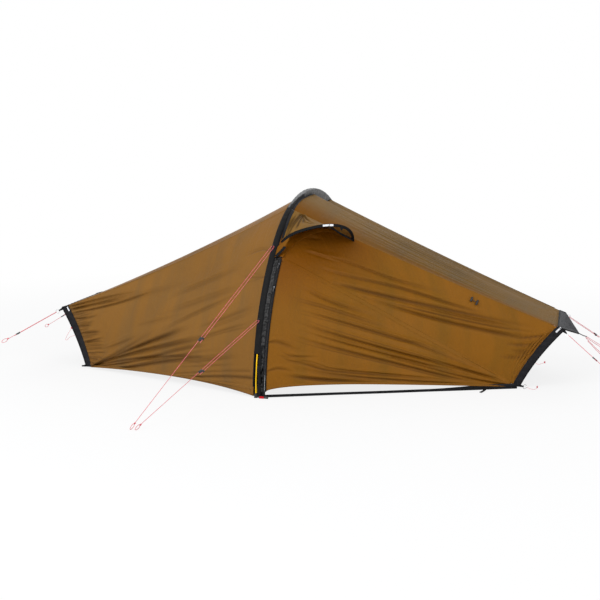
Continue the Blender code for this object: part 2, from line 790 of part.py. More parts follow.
def build_ends():
    """Bands with their corner tabs, mesh walls and visors at both ends."""
    trim = (SEAM + FABRIC) / HOOP_HEIGHT * 2
    across = fractions(2, 0, BAND_WIDTH)
    for end in (FOOT, HEAD):
        for label, face in (("front", -1), ("back", 1)):
            rows = [[end.band(a, min(h, 1 - trim * (a > 0)), face) for a in across] for h in BAND_HEIGHTS]
            tabs = []
            for top in (False, True):
                first = (len(BAND_HEIGHTS) - 2) if top else 0
                tabs.append(((first * len(across), (first + 1) * len(across)), tab_pairs(end, face, top)))
            sheet(f"{end.name}_{label}_band", rows, black_web(), tabs=tabs)
        sheet(f"{end.name}_mesh_wall", surface_rows(end.end_wall, fractions(6), fractions(6)), dark_mesh())
        sheet(f"{end.name}_visor", surface_rows(end.visor, fractions(6), [0, 0.17, 0.34, 0.55, 0.78, 1]),
              grey_cloth())


def build_rings():
    """Steel rings in the tabs; the pegged foot corners have plain loops."""
    for end, face, top in ring_places():
        label = f"{end.name}_{'front' if face < 0 else 'back'}_{'guy' if top else 'peg'}_ring"
        placed(label, ring_mesh(label, RING_RADIUS, RING_WIRE), steel(), end.ring_frame(face, top))


def ring_places():
    """Corners that carry a ring, as end, face and whether it is a top one."""
    return [(HEAD, -1, False), (HEAD, 1, False), *((end, face, True) for end in (FOOT, HEAD)
                                                   for face in (-1, 1))]


def build_ground_strap():
    """Strap that joins the pole's foot to the pegged head corner along the ground."""
    start = arch(0, 0, CUP_RADIUS * CUP_FLARE + SEAM * 1.5)
    finish = HEAD.low() + Vector((-0.012, -0.014, 0))
    low = SEAM / 2
    rows = [[Vector((p.x, p.y, low)), Vector((p.x, p.y, low + STRAP_HEIGHT))]
            for p in (start.lerp(finish, t) for t in fractions(8))]
    sheet("ground_strap", rows, black_web(), WEBBING)


# Zip and door


def zip_centre(share):
    """Middle line of the zip: up the hoop's leg, then over under the hood."""
    if share < ZIP_TURN_SHARE:
        return arch(lerp(ZIP_FOOT_ANGLE, ZIP_TOP_ANGLE, share / ZIP_TURN_SHARE), 0, ZIP_ALONG)
    t = (share - ZIP_TURN_SHARE) / (1 - ZIP_TURN_SHARE)
    rise, dip = LEG_CORNER + ARCH_RISE * CROWN_RADIUS, HINGE_POINT + ARCH_DIP * CROWN_RADIUS
    return bezier(LEG_CORNER, rise, dip, HINGE_POINT, t)


def zip_normal(share):
    """Outward direction of the cloth along the zip."""
    if share <= ZIP_TURN_SHARE:
        return arch_out(lerp(ZIP_FOOT_ANGLE, ZIP_TOP_ANGLE, share / ZIP_TURN_SHARE))
    t = (share - ZIP_TURN_SHARE) / (1 - ZIP_TURN_SHARE)
    return arch_out(ZIP_TOP_ANGLE).lerp(PANEL_NORMAL, min(1, t * 2)).normalized()


def zip_side(share, offset, lift=0.0):
    """Point beside the zip; a positive offset lies on the door side."""
    step = 1e-3
    tangent = zip_centre(min(share + step, 1)) - zip_centre(max(share - step, 0))
    normal = zip_normal(share)
    door_side = tangent.cross(normal).normalized()
    if door_side.dot(ALONG - UP) < 0:
        door_side.negate()
    return zip_centre(share) + door_side * offset + normal * lift


def door_point(share, height):
    """Point of the door: share 0 at the zip, 1 at the pegged corner; height 1 at the fold."""
    angle = lerp(ZIP_FOOT_ANGLE, ZIP_TOP_ANGLE - FOLD_GAP / LEG_RADIUS, height)
    edge = arch(angle, 0, ZIP_ALONG + CHAIN_EDGE + SEAM)
    corner = FOLD_FOOT + FOLD_DOWN * lerp(DOOR_CORNER, FOLD_GAP, height)
    lift = DOOR_HEM_LIFT * bump(share ** 0.8) * (1 - height) ** 3
    return edge.lerp(corner, share) + UP * lift


def door_relief(share, height):
    """Folds of the door that run to the pegged corner at the head end."""
    folds = math.sin(2 * math.pi * 3 * height + 0.6) * (1 - share) ** 0.5 * bump(min(1, share * 1.2))
    return DOOR_FOLD * folds * rim_fade(share, height, 6)


def upper_edge(share):
    """Upper outline of the head side above the fold: zip, shoulder seam, then the band."""
    if share < ARCH_SHARE:
        return zip_side(lerp(ZIP_TURN_SHARE, 1, share / ARCH_SHARE), CHAIN_EDGE + SEAM)
    if share < SEAM_SHARE:
        t = (share - ARCH_SHARE) / (SEAM_SHARE - ARCH_SHARE)
        corner = 1 - (BAND_WIDTH + SEAM) / HEAD.ruling_length(1)
        return HEAD.crease(lerp(ARCH_END_SHARE + 0.03, corner, t)) + PANEL_DOWN * SEAM * 1.5
    return HEAD.band(BAND_WIDTH + SEAM, 1 - (share - SEAM_SHARE) / (1 - SEAM_SHARE))


def head_front_point(share, height):
    """Point of the fixed head side: height 0 on the fold, 1 on its upper outline."""
    low = FOLD_TOP.lerp(FOLD_FOOT, share) - FOLD_DOWN * FOLD_GAP
    return low.lerp(upper_edge(share), height)


def head_front_shares():
    """Columns of the fixed head side: stations of the zip, the shoulder seam and the band."""
    zip_part = [ARCH_SHARE * (s - ZIP_TURN_SHARE) / (1 - ZIP_TURN_SHARE) for s in ARCH_STATIONS[1:]]
    band_part = [SEAM_SHARE + (1 - SEAM_SHARE) * (1 - h) for h in reversed(BAND_HEIGHTS[1:-1])]
    return zip_part + fractions(8, ARCH_SHARE + 0.002, SEAM_SHARE - 0.002) + band_part


def surround_point(share, across):
    """Point of the fixed strip between the zip and the sleeve, shoulder seam above it."""
    low = zip_side(share, -(CHAIN_EDGE + SEAM))
    if share < ZIP_TURN_SHARE:
        high = arch(lerp(ZIP_FOOT_ANGLE, ZIP_TOP_ANGLE, share / ZIP_TURN_SHARE), 0, SLEEVE_EDGE)
        return high.lerp(low, across)
    t = (share - ZIP_TURN_SHARE) / (1 - ZIP_TURN_SHARE)
    turn = 0.42
    if t < turn:
        high = arch(lerp(ZIP_TOP_ANGLE, CREASE_ANGLE - 0.01, t / turn), 0, SLEEVE_EDGE)
    else:
        high = HEAD.crease(lerp(0.004, ARCH_END_SHARE, (t - turn) / (1 - turn))) + PANEL_DOWN * FABRIC * 1.5
    return high.lerp(low, across)


def build_door():
    """Door, the fixed cloth round it and its zip."""
    rows = surface_rows(door_point, fractions(13, 0, 0.965), fractions(14), door_relief)
    sheet("door_panel", rows, skin_cloth())
    sheet("head_front_panel", surface_rows(head_front_point, head_front_shares(), fractions(5)),
          skin_cloth())
    stations = LEG_STATIONS + ARCH_STATIONS[1:]
    sheet("door_surround", surface_rows(surround_point, stations, fractions(2)), black_web())
    rows = []
    for share in stations:
        start = CHAIN_GAP / 2 if share <= ZIP_TURN_SHARE else -CHAIN_EDGE
        rows.append([zip_side(share, -start, CHAIN_LIFT), zip_side(share, -CHAIN_EDGE, CHAIN_LIFT)])
    sheet("frame_zip_chain", rows, black_plastic(), CHAIN_THICKNESS)
    rows = [[zip_side(share, CHAIN_GAP / 2, CHAIN_LIFT), zip_side(share, CHAIN_EDGE, CHAIN_LIFT)]
            for share in (*LEG_STATIONS[:-1], ZIP_TURN_SHARE - 0.006)]
    sheet("door_zip_chain", rows, black_plastic(), CHAIN_THICKNESS)
    build_slider("upper_zip", UPPER_SLIDER_ANGLE)
    build_slider("lower_zip", LOWER_SLIDER_ANGLE)


def build_slider(label, angle):
    """Zip slider on the outside of the chain, with its hanging pull."""
    tangent, out = arch_tangent(angle), arch_out(angle)
    rise = CHAIN_LIFT + CHAIN_THICKNESS / 2 + SEAM + SLIDER_HEIGHT / 2
    centre = arch(angle, rise, ZIP_ALONG)
    place = frame_at(centre, tangent, out)
    body = box_mesh(f"{label}_slider", (SLIDER_LENGTH, SLIDER_WIDTH, SLIDER_HEIGHT), SLIDER_BEVEL)
    placed(f"{label}_slider", body, steel(), place)
    pivot = centre + out * (SLIDER_HEIGHT / 2 + SEAM + PULL_HEIGHT / 2)
    pull = box_mesh(f"{label}_pull", (PULL_LENGTH + PULL_HEIGHT / 2, PULL_WIDTH, PULL_HEIGHT), PULL_BEVEL,
                    (-PULL_LENGTH / 2 + PULL_HEIGHT / 4, 0, 0))
    placed(f"{label}_pull", pull, black_plastic(), frame_at(pivot, tangent, out))


# Hood


def rim_point(share):
    """Middle line of the stiff brim of the hood."""
    start = arch(RIM_ANGLE, 0, SLEEVE_EDGE + RIM_RADIUS + SEAM)
    end = (HEAD.crease(HOOD_REACH) + PANEL_DOWN * RIM_END_DROP
           + PANEL_NORMAL * (RIM_RADIUS + FABRIC + SEAM))
    return bezier(start, start + RIM_RISE * CROWN_RADIUS, end + RIM_DIP * CROWN_RADIUS, end, share)


def hood_point(share, up):
    """Point of the hood: up 0 above the brim, 1 at the shoulder seam."""
    side = SLEEVE_EDGE + SEAM + FABRIC / 2
    leg = arch(lerp(RIM_ANGLE + 0.012, CREASE_ANGLE, up), HOOD_CLEAR, side)
    swing = leg - hood_ruling(0, up)
    return hood_ruling(share, up) + swing * (1 - share) ** 3 + OUT * (HOOD_SWELL * bump(up) * bump(share))


def hood_ruling(share, up):
    """Straight line of the hood from just above its brim to the shoulder seam."""
    rim = rim_point(share)
    high = HEAD.crease(lerp(0.004, HOOD_REACH, share)) + PANEL_NORMAL * HOOD_LIFT
    along = (rim_point(min(share + 0.01, 1)) - rim_point(max(share - 0.01, 0))).normalized()
    away = (high - rim) - along * (high - rim).dot(along)
    return (rim + away.normalized() * (RIM_RADIUS + SEAM * 2)).lerp(high, up)


def build_hood():
    """Hood over the top of the door, and its brim."""
    sheet("hood_canopy", surface_rows(hood_point, fractions(14, 0, 0.985), fractions(7)), skin_cloth())
    cord("hood_rim", [rim_point(t) for t in fractions(14)], RIM_RADIUS, black_web(), 2)


def build_tie():
    """Toggle and loop that hold the rolled door, hung under the shoulder seam."""
    hang = head_front_point(TOGGLE_SHARE, TOGGLE_HEIGHT) + PANEL_NORMAL * (FABRIC / 2 + SEAM + TOGGLE_RADIUS * 1.5)
    toggle = cord_points(hang, hang + PANEL_DOWN * TOGGLE_LENGTH)
    cord("door_tie_toggle", toggle, TOGGLE_RADIUS, black_plastic(), 2)


def cord_points(start, end, count=2):
    """Evenly spaced points from start to end."""
    return [start.lerp(end, t) for t in fractions(count)]


# Guy lines


class Line:
    """One guy line: X of its frame runs down the line from the wire that it passes round."""

    def __init__(self, name, place, length, runner):
        self.name, self.place, self.length, self.runner = name, place, length, runner

    def at(self, x, z):
        """Point in the plane of the two strands."""
        return self.place @ Vector((x, 0, z))


def guy_lines():
    """The six guy lines, front pair first."""
    lines = []
    for name, degrees, runner, aside in (("front_upper", 40.2, 0.53, -FRONT_PEG_SPREAD),
                                         ("front_lower", 19.7, 0.48, FRONT_PEG_SPREAD)):
        length = length_at(math.radians(degrees))
        middle = hoop_line(length, SLEEVE_TOP - SLEEVE_WALL / 2 + LINE_LOOP_RADIUS, LINE_LOOP_ALONG)
        peg = FRONT_PEG + Vector((aside, 0, 0))
        wire = middle + (peg - middle).normalized() * LINE_LOOP_RADIUS
        place = frame_at(wire, peg + ALONG * LINE_BEND - wire, ALONG)
        reach = (peg - wire).length
        lines.append(Line(name, place, reach, reach * runner))
    for end, face, length, runner in ((FOOT, -1, 0.345, 0.232), (FOOT, 1, 0.545, 0.330),
                                      (HEAD, -1, 0.290, 0.185), (HEAD, 1, 0.320, 0.215)):
        place = end.ring_frame(face, True) @ Matrix.Translation((RING_RADIUS, 0, 0))
        lines.append(Line(f"{end.name}_{'front' if face < 0 else 'back'}", place, length, runner))
    return lines


def guy_points(line):
    """Middle line of a guy line: short strand, bend in the ring, long strand and its end loop."""
    tail = line.runner + RUNNER_LENGTH + 0.010
    points = [line.at(x, LINE_BEND) for x in (tail, line.runner, line.runner / 2)]
    for turn in fractions(6, math.pi / 2, -math.pi / 2):
        points.append(line.at(BEND_START - LINE_BEND * math.cos(turn), LINE_BEND * math.sin(turn)))
    neck = line.length - LOOP_LENGTH
    points += [line.at(x, -LINE_BEND) for x in (line.runner / 2, *fractions(2, line.runner, neck))]
    beside = 2 * CORD_RADIUS + BORE_GAP
    for turn in fractions(8, 0, 1)[1:]:
        sweep = math.pi * (0.12 + 0.88 * turn) * 2 - math.pi * 0.12
        x = neck + LOOP_LENGTH * (1 - math.cos(math.pi * 2 * turn)) / 2
        y = LOOP_HALF * math.sin(sweep) + beside * turn ** 2
        points.append(line.place @ Vector((x, y, -LINE_BEND)))
    points.append(line.place @ Vector((neck - 0.010, beside, -LINE_BEND)))
    return points


def build_lines(lines):
    """Guy lines and their runners."""
    for line in lines:
        cord(f"{line.name}_guy_line", guy_points(line), CORD_RADIUS, pink_cord(), 2)
        build_runner(line)


def build_runner(line):
    """Triangular runner: the long strand passes along one side, the short one ends at its corner."""
    half = LINE_BEND + RUNNER_MARGIN
    outline = [(0, half), (0, -half), (RUNNER_LENGTH, -half), (RUNNER_LENGTH, 2 * RUNNER_MARGIN - half),
               (RUNNER_SHOULDER, half)]
    place = line.place @ Matrix.Translation((line.runner, 0, 0))
    mesh = bpy.data.meshes.new(f"{line.name}_runner")
    mesh.from_pydata([(x, 0, z) for x, z in outline], [], [tuple(range(len(outline)))])
    body = placed(f"{line.name}_runner", mesh, black_plastic(), place)
    thicken(body, RUNNER_THICKNESS)
    for index, z in enumerate((LINE_BEND, -LINE_BEND)):
        label = f"{line.name}_bore_{index}"
        bore = rod_mesh(label, Vector((-RUNNER_LENGTH, 0, z)), Vector((2 * RUNNER_LENGTH, 0, z)),
                        CORD_RADIUS + BORE_GAP, 8)
        combine(body, bore, label, place)


def build_visor_line():
    """Cord of the head visor: out from the tip through its knot in two long loops."""
    tip = HEAD.visor_tip() + Vector((SEAM, 0, 0))
    knot = tip + Vector((1, -0.3, -0.35)) * VISOR_KNOT
    drop = Vector((0, -0.003, -0.008))
    upper = Vector((0.80, -0.30, -0.42)).normalized()
    lower = Vector((0.72, -0.34, -0.60)).normalized()
    side = Vector((0.002, -0.004, -0.010))
    stops = [tip, tip.lerp(knot, 0.5) + UP * -0.002, knot, knot + upper * 0.07, knot + upper * 0.135,
             knot + upper * 0.145 + side * 0.5, knot + upper * 0.135 + side, knot + upper * 0.07 + side,
             knot + side * 0.7 + upper * 0.006, knot + drop * 0.9 - upper * 0.004,
             knot + side * 1.3 + lower * 0.010, knot + lower * 0.06 + side * 1.6,
             knot + lower * 0.115 + side * 1.6, knot + lower * 0.123 + side * 2.1,
             knot + lower * 0.115 + side * 2.6, knot + lower * 0.06 + side * 2.5,
             knot + lower * 0.004 + side * 1.9]
    cord("visor_line", smooth_route(stops, 2), CORD_RADIUS, pink_cord(), 2)


# Inner tent


def floor_outline(height):
    """Six corners of the groundsheet, or of its wall's top edge, seen anticlockwise from above."""
    lean = FLOOR_LEAN * height / FLOOR_WALL
    end_x, end_y = FLOOR_HALF_LENGTH - lean, FLOOR_END_HALF_WIDTH - lean
    front, back = FLOOR_FRONT_Y + lean, FLOOR_BACK_Y - lean
    hoop_x = back * math.tan(HOOP_TURN)
    return [Vector(p) for p in ((-end_x, -end_y, height), (0, front, height), (end_x, -end_y, height),
                                (end_x, end_y, height), (hoop_x, back, height), (-end_x, end_y, height))]


def build_floor():
    """Bathtub groundsheet: flat on the ground with a low wall all round."""
    low, high = floor_outline(0), floor_outline(FLOOR_WALL)
    count = len(low)
    faces = [tuple(reversed(range(count)))]
    for k in range(count):
        n = (k + 1) % count
        faces.append((k, n, count + n, count + k))
    mesh = bpy.data.meshes.new("inner_floor")
    mesh.from_pydata([tuple(p) for p in low + high], [], faces)
    thicken(add_object("inner_floor", mesh, grey_cloth()), FLOOR_THICKNESS, -1.0)


def inner_stations():
    """Places across the inner roof at which its rows stand."""
    return [*fractions(7, 0, INNER_END_SHARE), *fractions(5, INNER_END_SHARE, 1)[1:]]


def inner_middle(over):
    """Roof line of the inner tent under the hoop, from its front top to the floor at the back."""
    angle = lerp(INNER_FRONT_ANGLE, INNER_BACK_ANGLE, over)
    p = arch(angle, -lerp(INNER_CLEARANCE, INNER_CLEARANCE * 1.9, over))
    low = floor_outline(FLOOR_WALL)[4] + UP * SEAM
    return p.lerp(low, max(0, (over - 0.75) / 0.25) ** 2)


def inner_end(side, over):
    """Roof line of the inner tent at one end, from its front top to the floor at the back."""
    corner = floor_outline(FLOOR_WALL)[3 if side > 0 else 5] + UP * SEAM
    half = FLOOR_END_HALF_WIDTH - INNER_END_INSET
    front, back = (Vector((corner.x, face * half, INNER_END_HEIGHT)) for face in (-1, 1))
    if over < INNER_END_SHARE:
        return front.lerp(back, over / INNER_END_SHARE)
    return back.lerp(corner, (over - INNER_END_SHARE) / (1 - INNER_END_SHARE))


def inner_roof(share, over):
    """Point of the inner tent's roof and back; share 0 at the foot end, 1 at the head end."""
    middle = inner_middle(over)
    half = abs(share * 2 - 1)
    p = middle.lerp(inner_end(-1 if share < 0.5 else 1, over), half)
    return p - UP * (INNER_SAG * bump(half) * bump(over))


def wall_column(side, share):
    """Bottom and top of the inner tent's front wall, share 0 under the hoop, 1 at the end."""
    outline = floor_outline(FLOOR_WALL)
    slip = OUT * (SEAM + FABRIC / 2)
    low = outline[1].lerp(outline[2 if side > 0 else 0], share) + UP * SEAM
    high = inner_middle(0).lerp(inner_end(side, 0) - UP * WALL_DROP, share) + slip
    return low, high


def end_column(side, share):
    """Bottom and top of the inner tent's end wall, share 0 at the front, 1 at the back."""
    outline = floor_outline(FLOOR_WALL)
    low_front, low_back = (outline[2], outline[3]) if side > 0 else (outline[0], outline[5])
    slip = Vector((side * (SEAM + FABRIC / 2), 0, 0))
    stop = inner_end(side, INNER_END_SHARE)
    front = inner_end(side, 0) + OUT * (SEAM + FABRIC / 2)
    low = low_front.lerp(low_back, share) + slip + UP * SEAM
    return low, front.lerp(stop, share) + slip - UP * WALL_DROP


def build_inner():
    """Inner tent: groundsheet, roof, walls, door and what it hangs by."""
    build_floor()
    rows = surface_rows(inner_roof, fractions(12), inner_stations())
    canopy = sheet("inner_canopy", rows, inner_cloth())
    for end, side in ((FOOT, -1), (HEAD, 1)):
        for face, over in ((-1, 0), (1, INNER_END_SHARE)):
            start = inner_end(side, over)
            finish = end.top(face) + Vector((-side, -face / 2, -0.5)) * ELASTIC_INSET
            label = f"{end.name}_elastic_{face + 1}"
            rod = rod_mesh(label, start, finish, ELASTIC_RADIUS)
            combine(canopy, rod, label, Matrix.Identity(4), "UNION")
    columns = [end_column(-1, t) for t in (1, 0.5)] + [wall_column(-1, t) for t in (1, 0.66, 0.33, 0)]
    door = fractions(4, INNER_DOOR_START_SHARE, INNER_DOOR_END_SHARE)
    columns += [wall_column(1, t) for t in (*door, 0.8, 1)] + [end_column(1, t) for t in (0.5, 1)]
    columns[2] = (columns[2][0], end_column(-1, 0)[1])
    columns[-3] = (columns[-3][0], end_column(1, 0)[1])
    heights = [0, INNER_DOOR_LOW_SHARE, *fractions(4, INNER_DOOR_LOW_SHARE, INNER_DOOR_HIGH_SHARE)[1:], 1]
    rows = [[low.lerp(high, h) for low, high in columns] for h in heights]
    sheet("inner_walls", rows, inner_cloth(), skip=lambda i, j: 1 <= i <= 4 and 6 <= j <= 9)
    build_inner_door()
    build_hanger_tape()


def inner_door_point(share, height):
    """Point of the inner door inside its opening."""
    low, high = wall_column(1, lerp(INNER_DOOR_START_SHARE, INNER_DOOR_END_SHARE, share))
    return low.lerp(high, lerp(INNER_DOOR_LOW_SHARE, INNER_DOOR_HIGH_SHARE, height))


def build_inner_door():
    """Door of the inner tent and the slider on its free edge."""
    trim = (SEAM + FABRIC / 2) / (FLOOR_HALF_LENGTH * (INNER_DOOR_END_SHARE - INNER_DOOR_START_SHARE))
    rows = surface_rows(inner_door_point, fractions(4, trim, 1 - trim), fractions(4, trim, 1 - trim))
    sheet("inner_door", rows, inner_cloth())
    low, high = inner_door_point(1, 0), inner_door_point(1, 1)
    centre = low.lerp(high, INNER_SLIDER_SHARE) + OUT * (FABRIC / 2 + SEAM + SLIDER_HEIGHT / 2)
    body = box_mesh("inner_zip_slider", (SLIDER_LENGTH, SLIDER_WIDTH, SLIDER_HEIGHT), SLIDER_BEVEL)
    placed("inner_zip_slider", body, steel(), frame_at(centre, high - low, OUT))


def build_hanger_tape():
    """Tape along the top of the inner tent with the elastics that hang it from the sleeve."""
    stations = inner_stations()[1:9]
    rise = FABRIC / 2 + SEAM + FABRIC / 2
    rows = []
    for over in stations:
        turn = lerp(INNER_FRONT_ANGLE, INNER_BACK_ANGLE, over)
        middle = inner_middle(over) + arch_out(turn) * rise
        rows.append([middle + ALONG * (side * WEBBING_WIDTH / 2) for side in (-1, 1)])
    tape = sheet("inner_hanger_tape", rows, black_web())
    for k, over in enumerate(stations[0::2]):
        turn = lerp(INNER_FRONT_ANGLE, INNER_BACK_ANGLE, over)
        low = inner_middle(over) + arch_out(turn) * rise
        high = hoop_line(length_at(turn), -(SLEEVE_HALF_DEPTH + SEAM))
        label = f"hanger_{k}"
        combine(tape, rod_mesh(label, low, high, ELASTIC_RADIUS), label, Matrix.Identity(4), "UNION")


def main():
    """Clears the scene and builds every piece."""
    for old in list(bpy.data.objects):
        bpy.data.objects.remove(old)
    for name in (COLLECTION, CUTTERS):
        group = bpy.data.collections.new(name)
        bpy.context.scene.collection.children.link(group)
    lines = guy_lines()
    build_pole()
    build_sleeve(lines)
    build_feet()
    build_sides()
    build_ends()
    build_rings()
    build_ground_strap()
    build_door()
    build_hood()
    build_tie()
    build_lines(lines)
    build_visor_line()
    build_inner()


main()
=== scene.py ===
"""Looks of a pitched one-person tent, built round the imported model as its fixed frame.

Metres, +Z up. The ridge runs along X with the head end at +X, and the door faces -Y. The soft
pieces follow the surfaces and routes of their solids, drawn finer and with the folds that the
pull of the corners puts in the cloth. The rigid solids stay and get their real finishes.
"""
from __future__ import annotations

import json
import logging
import math
import random
from dataclasses import dataclass, replace
from enum import Enum
from functools import cached_property, partial
from typing import Callable, Optional, Sequence

import bmesh
import bpy
import numpy as np
from mathutils import Matrix, Vector, noise

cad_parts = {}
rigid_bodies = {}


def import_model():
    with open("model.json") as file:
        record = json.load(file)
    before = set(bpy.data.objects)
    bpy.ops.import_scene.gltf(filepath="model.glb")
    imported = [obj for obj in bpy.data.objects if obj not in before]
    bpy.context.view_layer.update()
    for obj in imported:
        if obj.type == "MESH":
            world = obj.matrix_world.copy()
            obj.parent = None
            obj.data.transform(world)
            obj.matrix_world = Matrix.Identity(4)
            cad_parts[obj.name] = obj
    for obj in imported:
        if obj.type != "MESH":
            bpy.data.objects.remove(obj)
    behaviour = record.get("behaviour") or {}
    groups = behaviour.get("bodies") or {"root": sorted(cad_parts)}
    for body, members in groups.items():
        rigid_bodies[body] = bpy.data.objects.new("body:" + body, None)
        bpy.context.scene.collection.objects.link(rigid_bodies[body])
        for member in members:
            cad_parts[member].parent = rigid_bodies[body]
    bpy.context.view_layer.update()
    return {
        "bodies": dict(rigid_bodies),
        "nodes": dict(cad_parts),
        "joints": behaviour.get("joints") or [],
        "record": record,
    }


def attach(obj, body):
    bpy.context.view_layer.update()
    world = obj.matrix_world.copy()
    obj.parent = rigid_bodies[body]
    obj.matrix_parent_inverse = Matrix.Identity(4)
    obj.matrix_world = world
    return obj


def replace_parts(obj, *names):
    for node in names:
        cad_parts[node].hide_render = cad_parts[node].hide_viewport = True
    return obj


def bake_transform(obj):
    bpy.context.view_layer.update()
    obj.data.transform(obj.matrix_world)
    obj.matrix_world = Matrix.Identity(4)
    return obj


LOG = logging.getLogger("tent")
UP = Vector((0, 0, 1))
OUT = Vector((0, -1, 0))
TENT_MIDDLE = np.array([0.0, 0.05, 0.15])
MM = 0.001
FULL_TURN = 2 * math.pi
Surface = Callable[[float, float], Vector]
Share = Callable[[float, float], float]
Piece = bpy.types.Object
Socket = bpy.types.NodeSocket
NodeMaker = Callable[..., Socket]


def lerp(a, b, t: float):
    """Returns the value that lies part t of the way from a to b."""
    return a + (b - a) * t


def clamp(x: float, low: float = 0.0, high: float = 1.0) -> float:
    """Returns x, held between low and high."""
    return min(max(x, low), high)


def smooth_step(share: float) -> float:
    """Returns 0 below 0, 1 above 1 and a smooth rise between them."""
    share = clamp(share)
    return share * share * (3 - 2 * share)


def hump(x: float) -> float:
    """Returns 0 at both ends of 0 to 1 and 1 in the middle."""
    return math.sin(math.pi * clamp(x))


def steps(count: int, low: float = 0.0, high: float = 1.0) -> list[float]:
    """Returns count + 1 evenly spaced values from low to high."""
    return [lerp(low, high, i / count) for i in range(count + 1)]


def bezier(p0: Vector, p1: Vector, p2: Vector, p3: Vector, t: float) -> Vector:
    """Returns a point of a cubic curve."""
    s = 1 - t
    return p0 * s ** 3 + p1 * 3 * s * s * t + p2 * 3 * s * t * t + p3 * t ** 3


def smooth_route(stops: Sequence[Vector], per_stop: int = 6) -> list[Vector]:
    """Draws a smooth curve through a route's own stops.

    Args:
        stops: Points that the route passes.
        per_stop: Points put into each stretch between two stops.

    Returns:
        The points of the curve.
    """
    ends = [stops[0] * 2 - stops[1], *stops, stops[-1] * 2 - stops[-2]]
    points = []
    for a, b, c, d in zip(ends, ends[1:], ends[2:], ends[3:]):
        for t in (k / per_stop for k in range(per_stop)):
            points.append((b * 2 + (c - a) * t + (a * 2 - b * 5 + c * 4 - d) * t ** 2
                           + (b * 3 - a - c * 3 + d) * t ** 3) / 2)
    return points + [stops[-1]]


def frame_at(origin: Vector, x: Vector, y: Vector) -> Matrix:
    """Returns the frame at origin with the unit axes x and y."""
    return Matrix.Translation(origin) @ Matrix((x, y, x.cross(y))).transposed().to_4x4()


# The tent's shape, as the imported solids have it


@dataclass(frozen=True)
class Hoop:
    """The hoop pole's line: an arch of three arcs, turned a little from square to the ridge."""

    height: float = 1.0
    half_width: float = 0.808
    crown_radius: float = 0.68
    turn: float = math.radians(8.1)
    sleeve_half_width: float = 0.015
    sleeve_half_depth: float = 0.0064
    sleeve_wall: float = 0.0008
    sleeve_start: float = 0.267
    seam: float = 0.0006
    segments: int = 32

    @cached_property
    def across(self) -> Vector:
        """Level direction in the hoop's plane, towards the back."""
        return Vector((math.sin(self.turn), math.cos(self.turn), 0))

    @cached_property
    def along(self) -> Vector:
        """Level direction square to the hoop's plane, towards the head end."""
        return Vector((math.cos(self.turn), -math.sin(self.turn), 0))

    @cached_property
    def leg_radius(self) -> float:
        """Radius of the arcs of the two legs."""
        spare = self.half_width ** 2 + self.height ** 2 - 2 * self.height * self.crown_radius
        return spare / (2 * (self.half_width - self.crown_radius))

    @cached_property
    def leg_sweep(self) -> float:
        """Angle that a leg's arc spans."""
        return math.atan2(self.height - self.crown_radius, self.leg_radius - self.half_width)

    @cached_property
    def leg_length(self) -> float:
        """Length of a leg's arc."""
        return self.leg_radius * self.leg_sweep

    @cached_property
    def length(self) -> float:
        """Length of the whole pole."""
        return 2 * self.leg_length + self.crown_radius * (math.pi - 2 * self.leg_sweep)

    @cached_property
    def sleeve_edge(self) -> float:
        """Distance from the pole's line at which the panels begin."""
        return self.sleeve_half_width * math.cos(math.pi / 8) + self.seam

    @cached_property
    def sleeve_top(self) -> float:
        """Rise of the sleeve's flat top over the pole's line."""
        return self.sleeve_half_depth * math.cos(math.pi / 8)

    def arch(self, angle: float, grow: float = 0.0, along: float = 0.0) -> Vector:
        """Returns the hoop's point whose outward normal stands at angle above the front.

        Args:
            angle: Angle above level, 0 at the front foot and pi at the back one.
            grow: Distance outwards from the line.
            along: Distance square to the hoop's plane, towards the head end.
        """
        if angle < self.leg_sweep:
            centre, base, radius = self.leg_radius - self.half_width, 0.0, self.leg_radius
        elif angle <= math.pi - self.leg_sweep:
            centre, base, radius = 0.0, self.height - self.crown_radius, self.crown_radius
        else:
            centre, base, radius = self.half_width - self.leg_radius, 0.0, self.leg_radius
        radius += grow
        return (self.across * (centre - radius * math.cos(angle))
                + UP * (base + radius * math.sin(angle)) + self.along * along)

    def out(self, angle: float) -> Vector:
        """Returns the outward direction in the hoop's plane."""
        return -self.across * math.cos(angle) + UP * math.sin(angle)

    def angle_at(self, length: float) -> float:
        """Returns the arch angle at a length along the pole from the front foot."""
        if length < self.leg_length:
            return length / self.leg_radius
        if length <= self.length - self.leg_length:
            return self.leg_sweep + (length - self.leg_length) / self.crown_radius
        return math.pi - (self.length - length) / self.leg_radius

    def length_at(self, angle: float) -> float:
        """Returns the length along the pole at an arch angle on the front half."""
        if angle < self.leg_sweep:
            return angle * self.leg_radius
        return self.leg_length + (angle - self.leg_sweep) * self.crown_radius

    def line(self, length: float, grow: float = 0.0, along: float = 0.0) -> Vector:
        """Returns the point of the pole's straight-sided line that its solids follow."""
        step = self.length / self.segments
        place = clamp(length / step, 0, self.segments)
        first = min(int(place), self.segments - 1)
        start, end = (self.arch(self.angle_at(k * step), grow, along) for k in (first, first + 1))
        return start.lerp(end, place - first)


HOOP = Hoop()


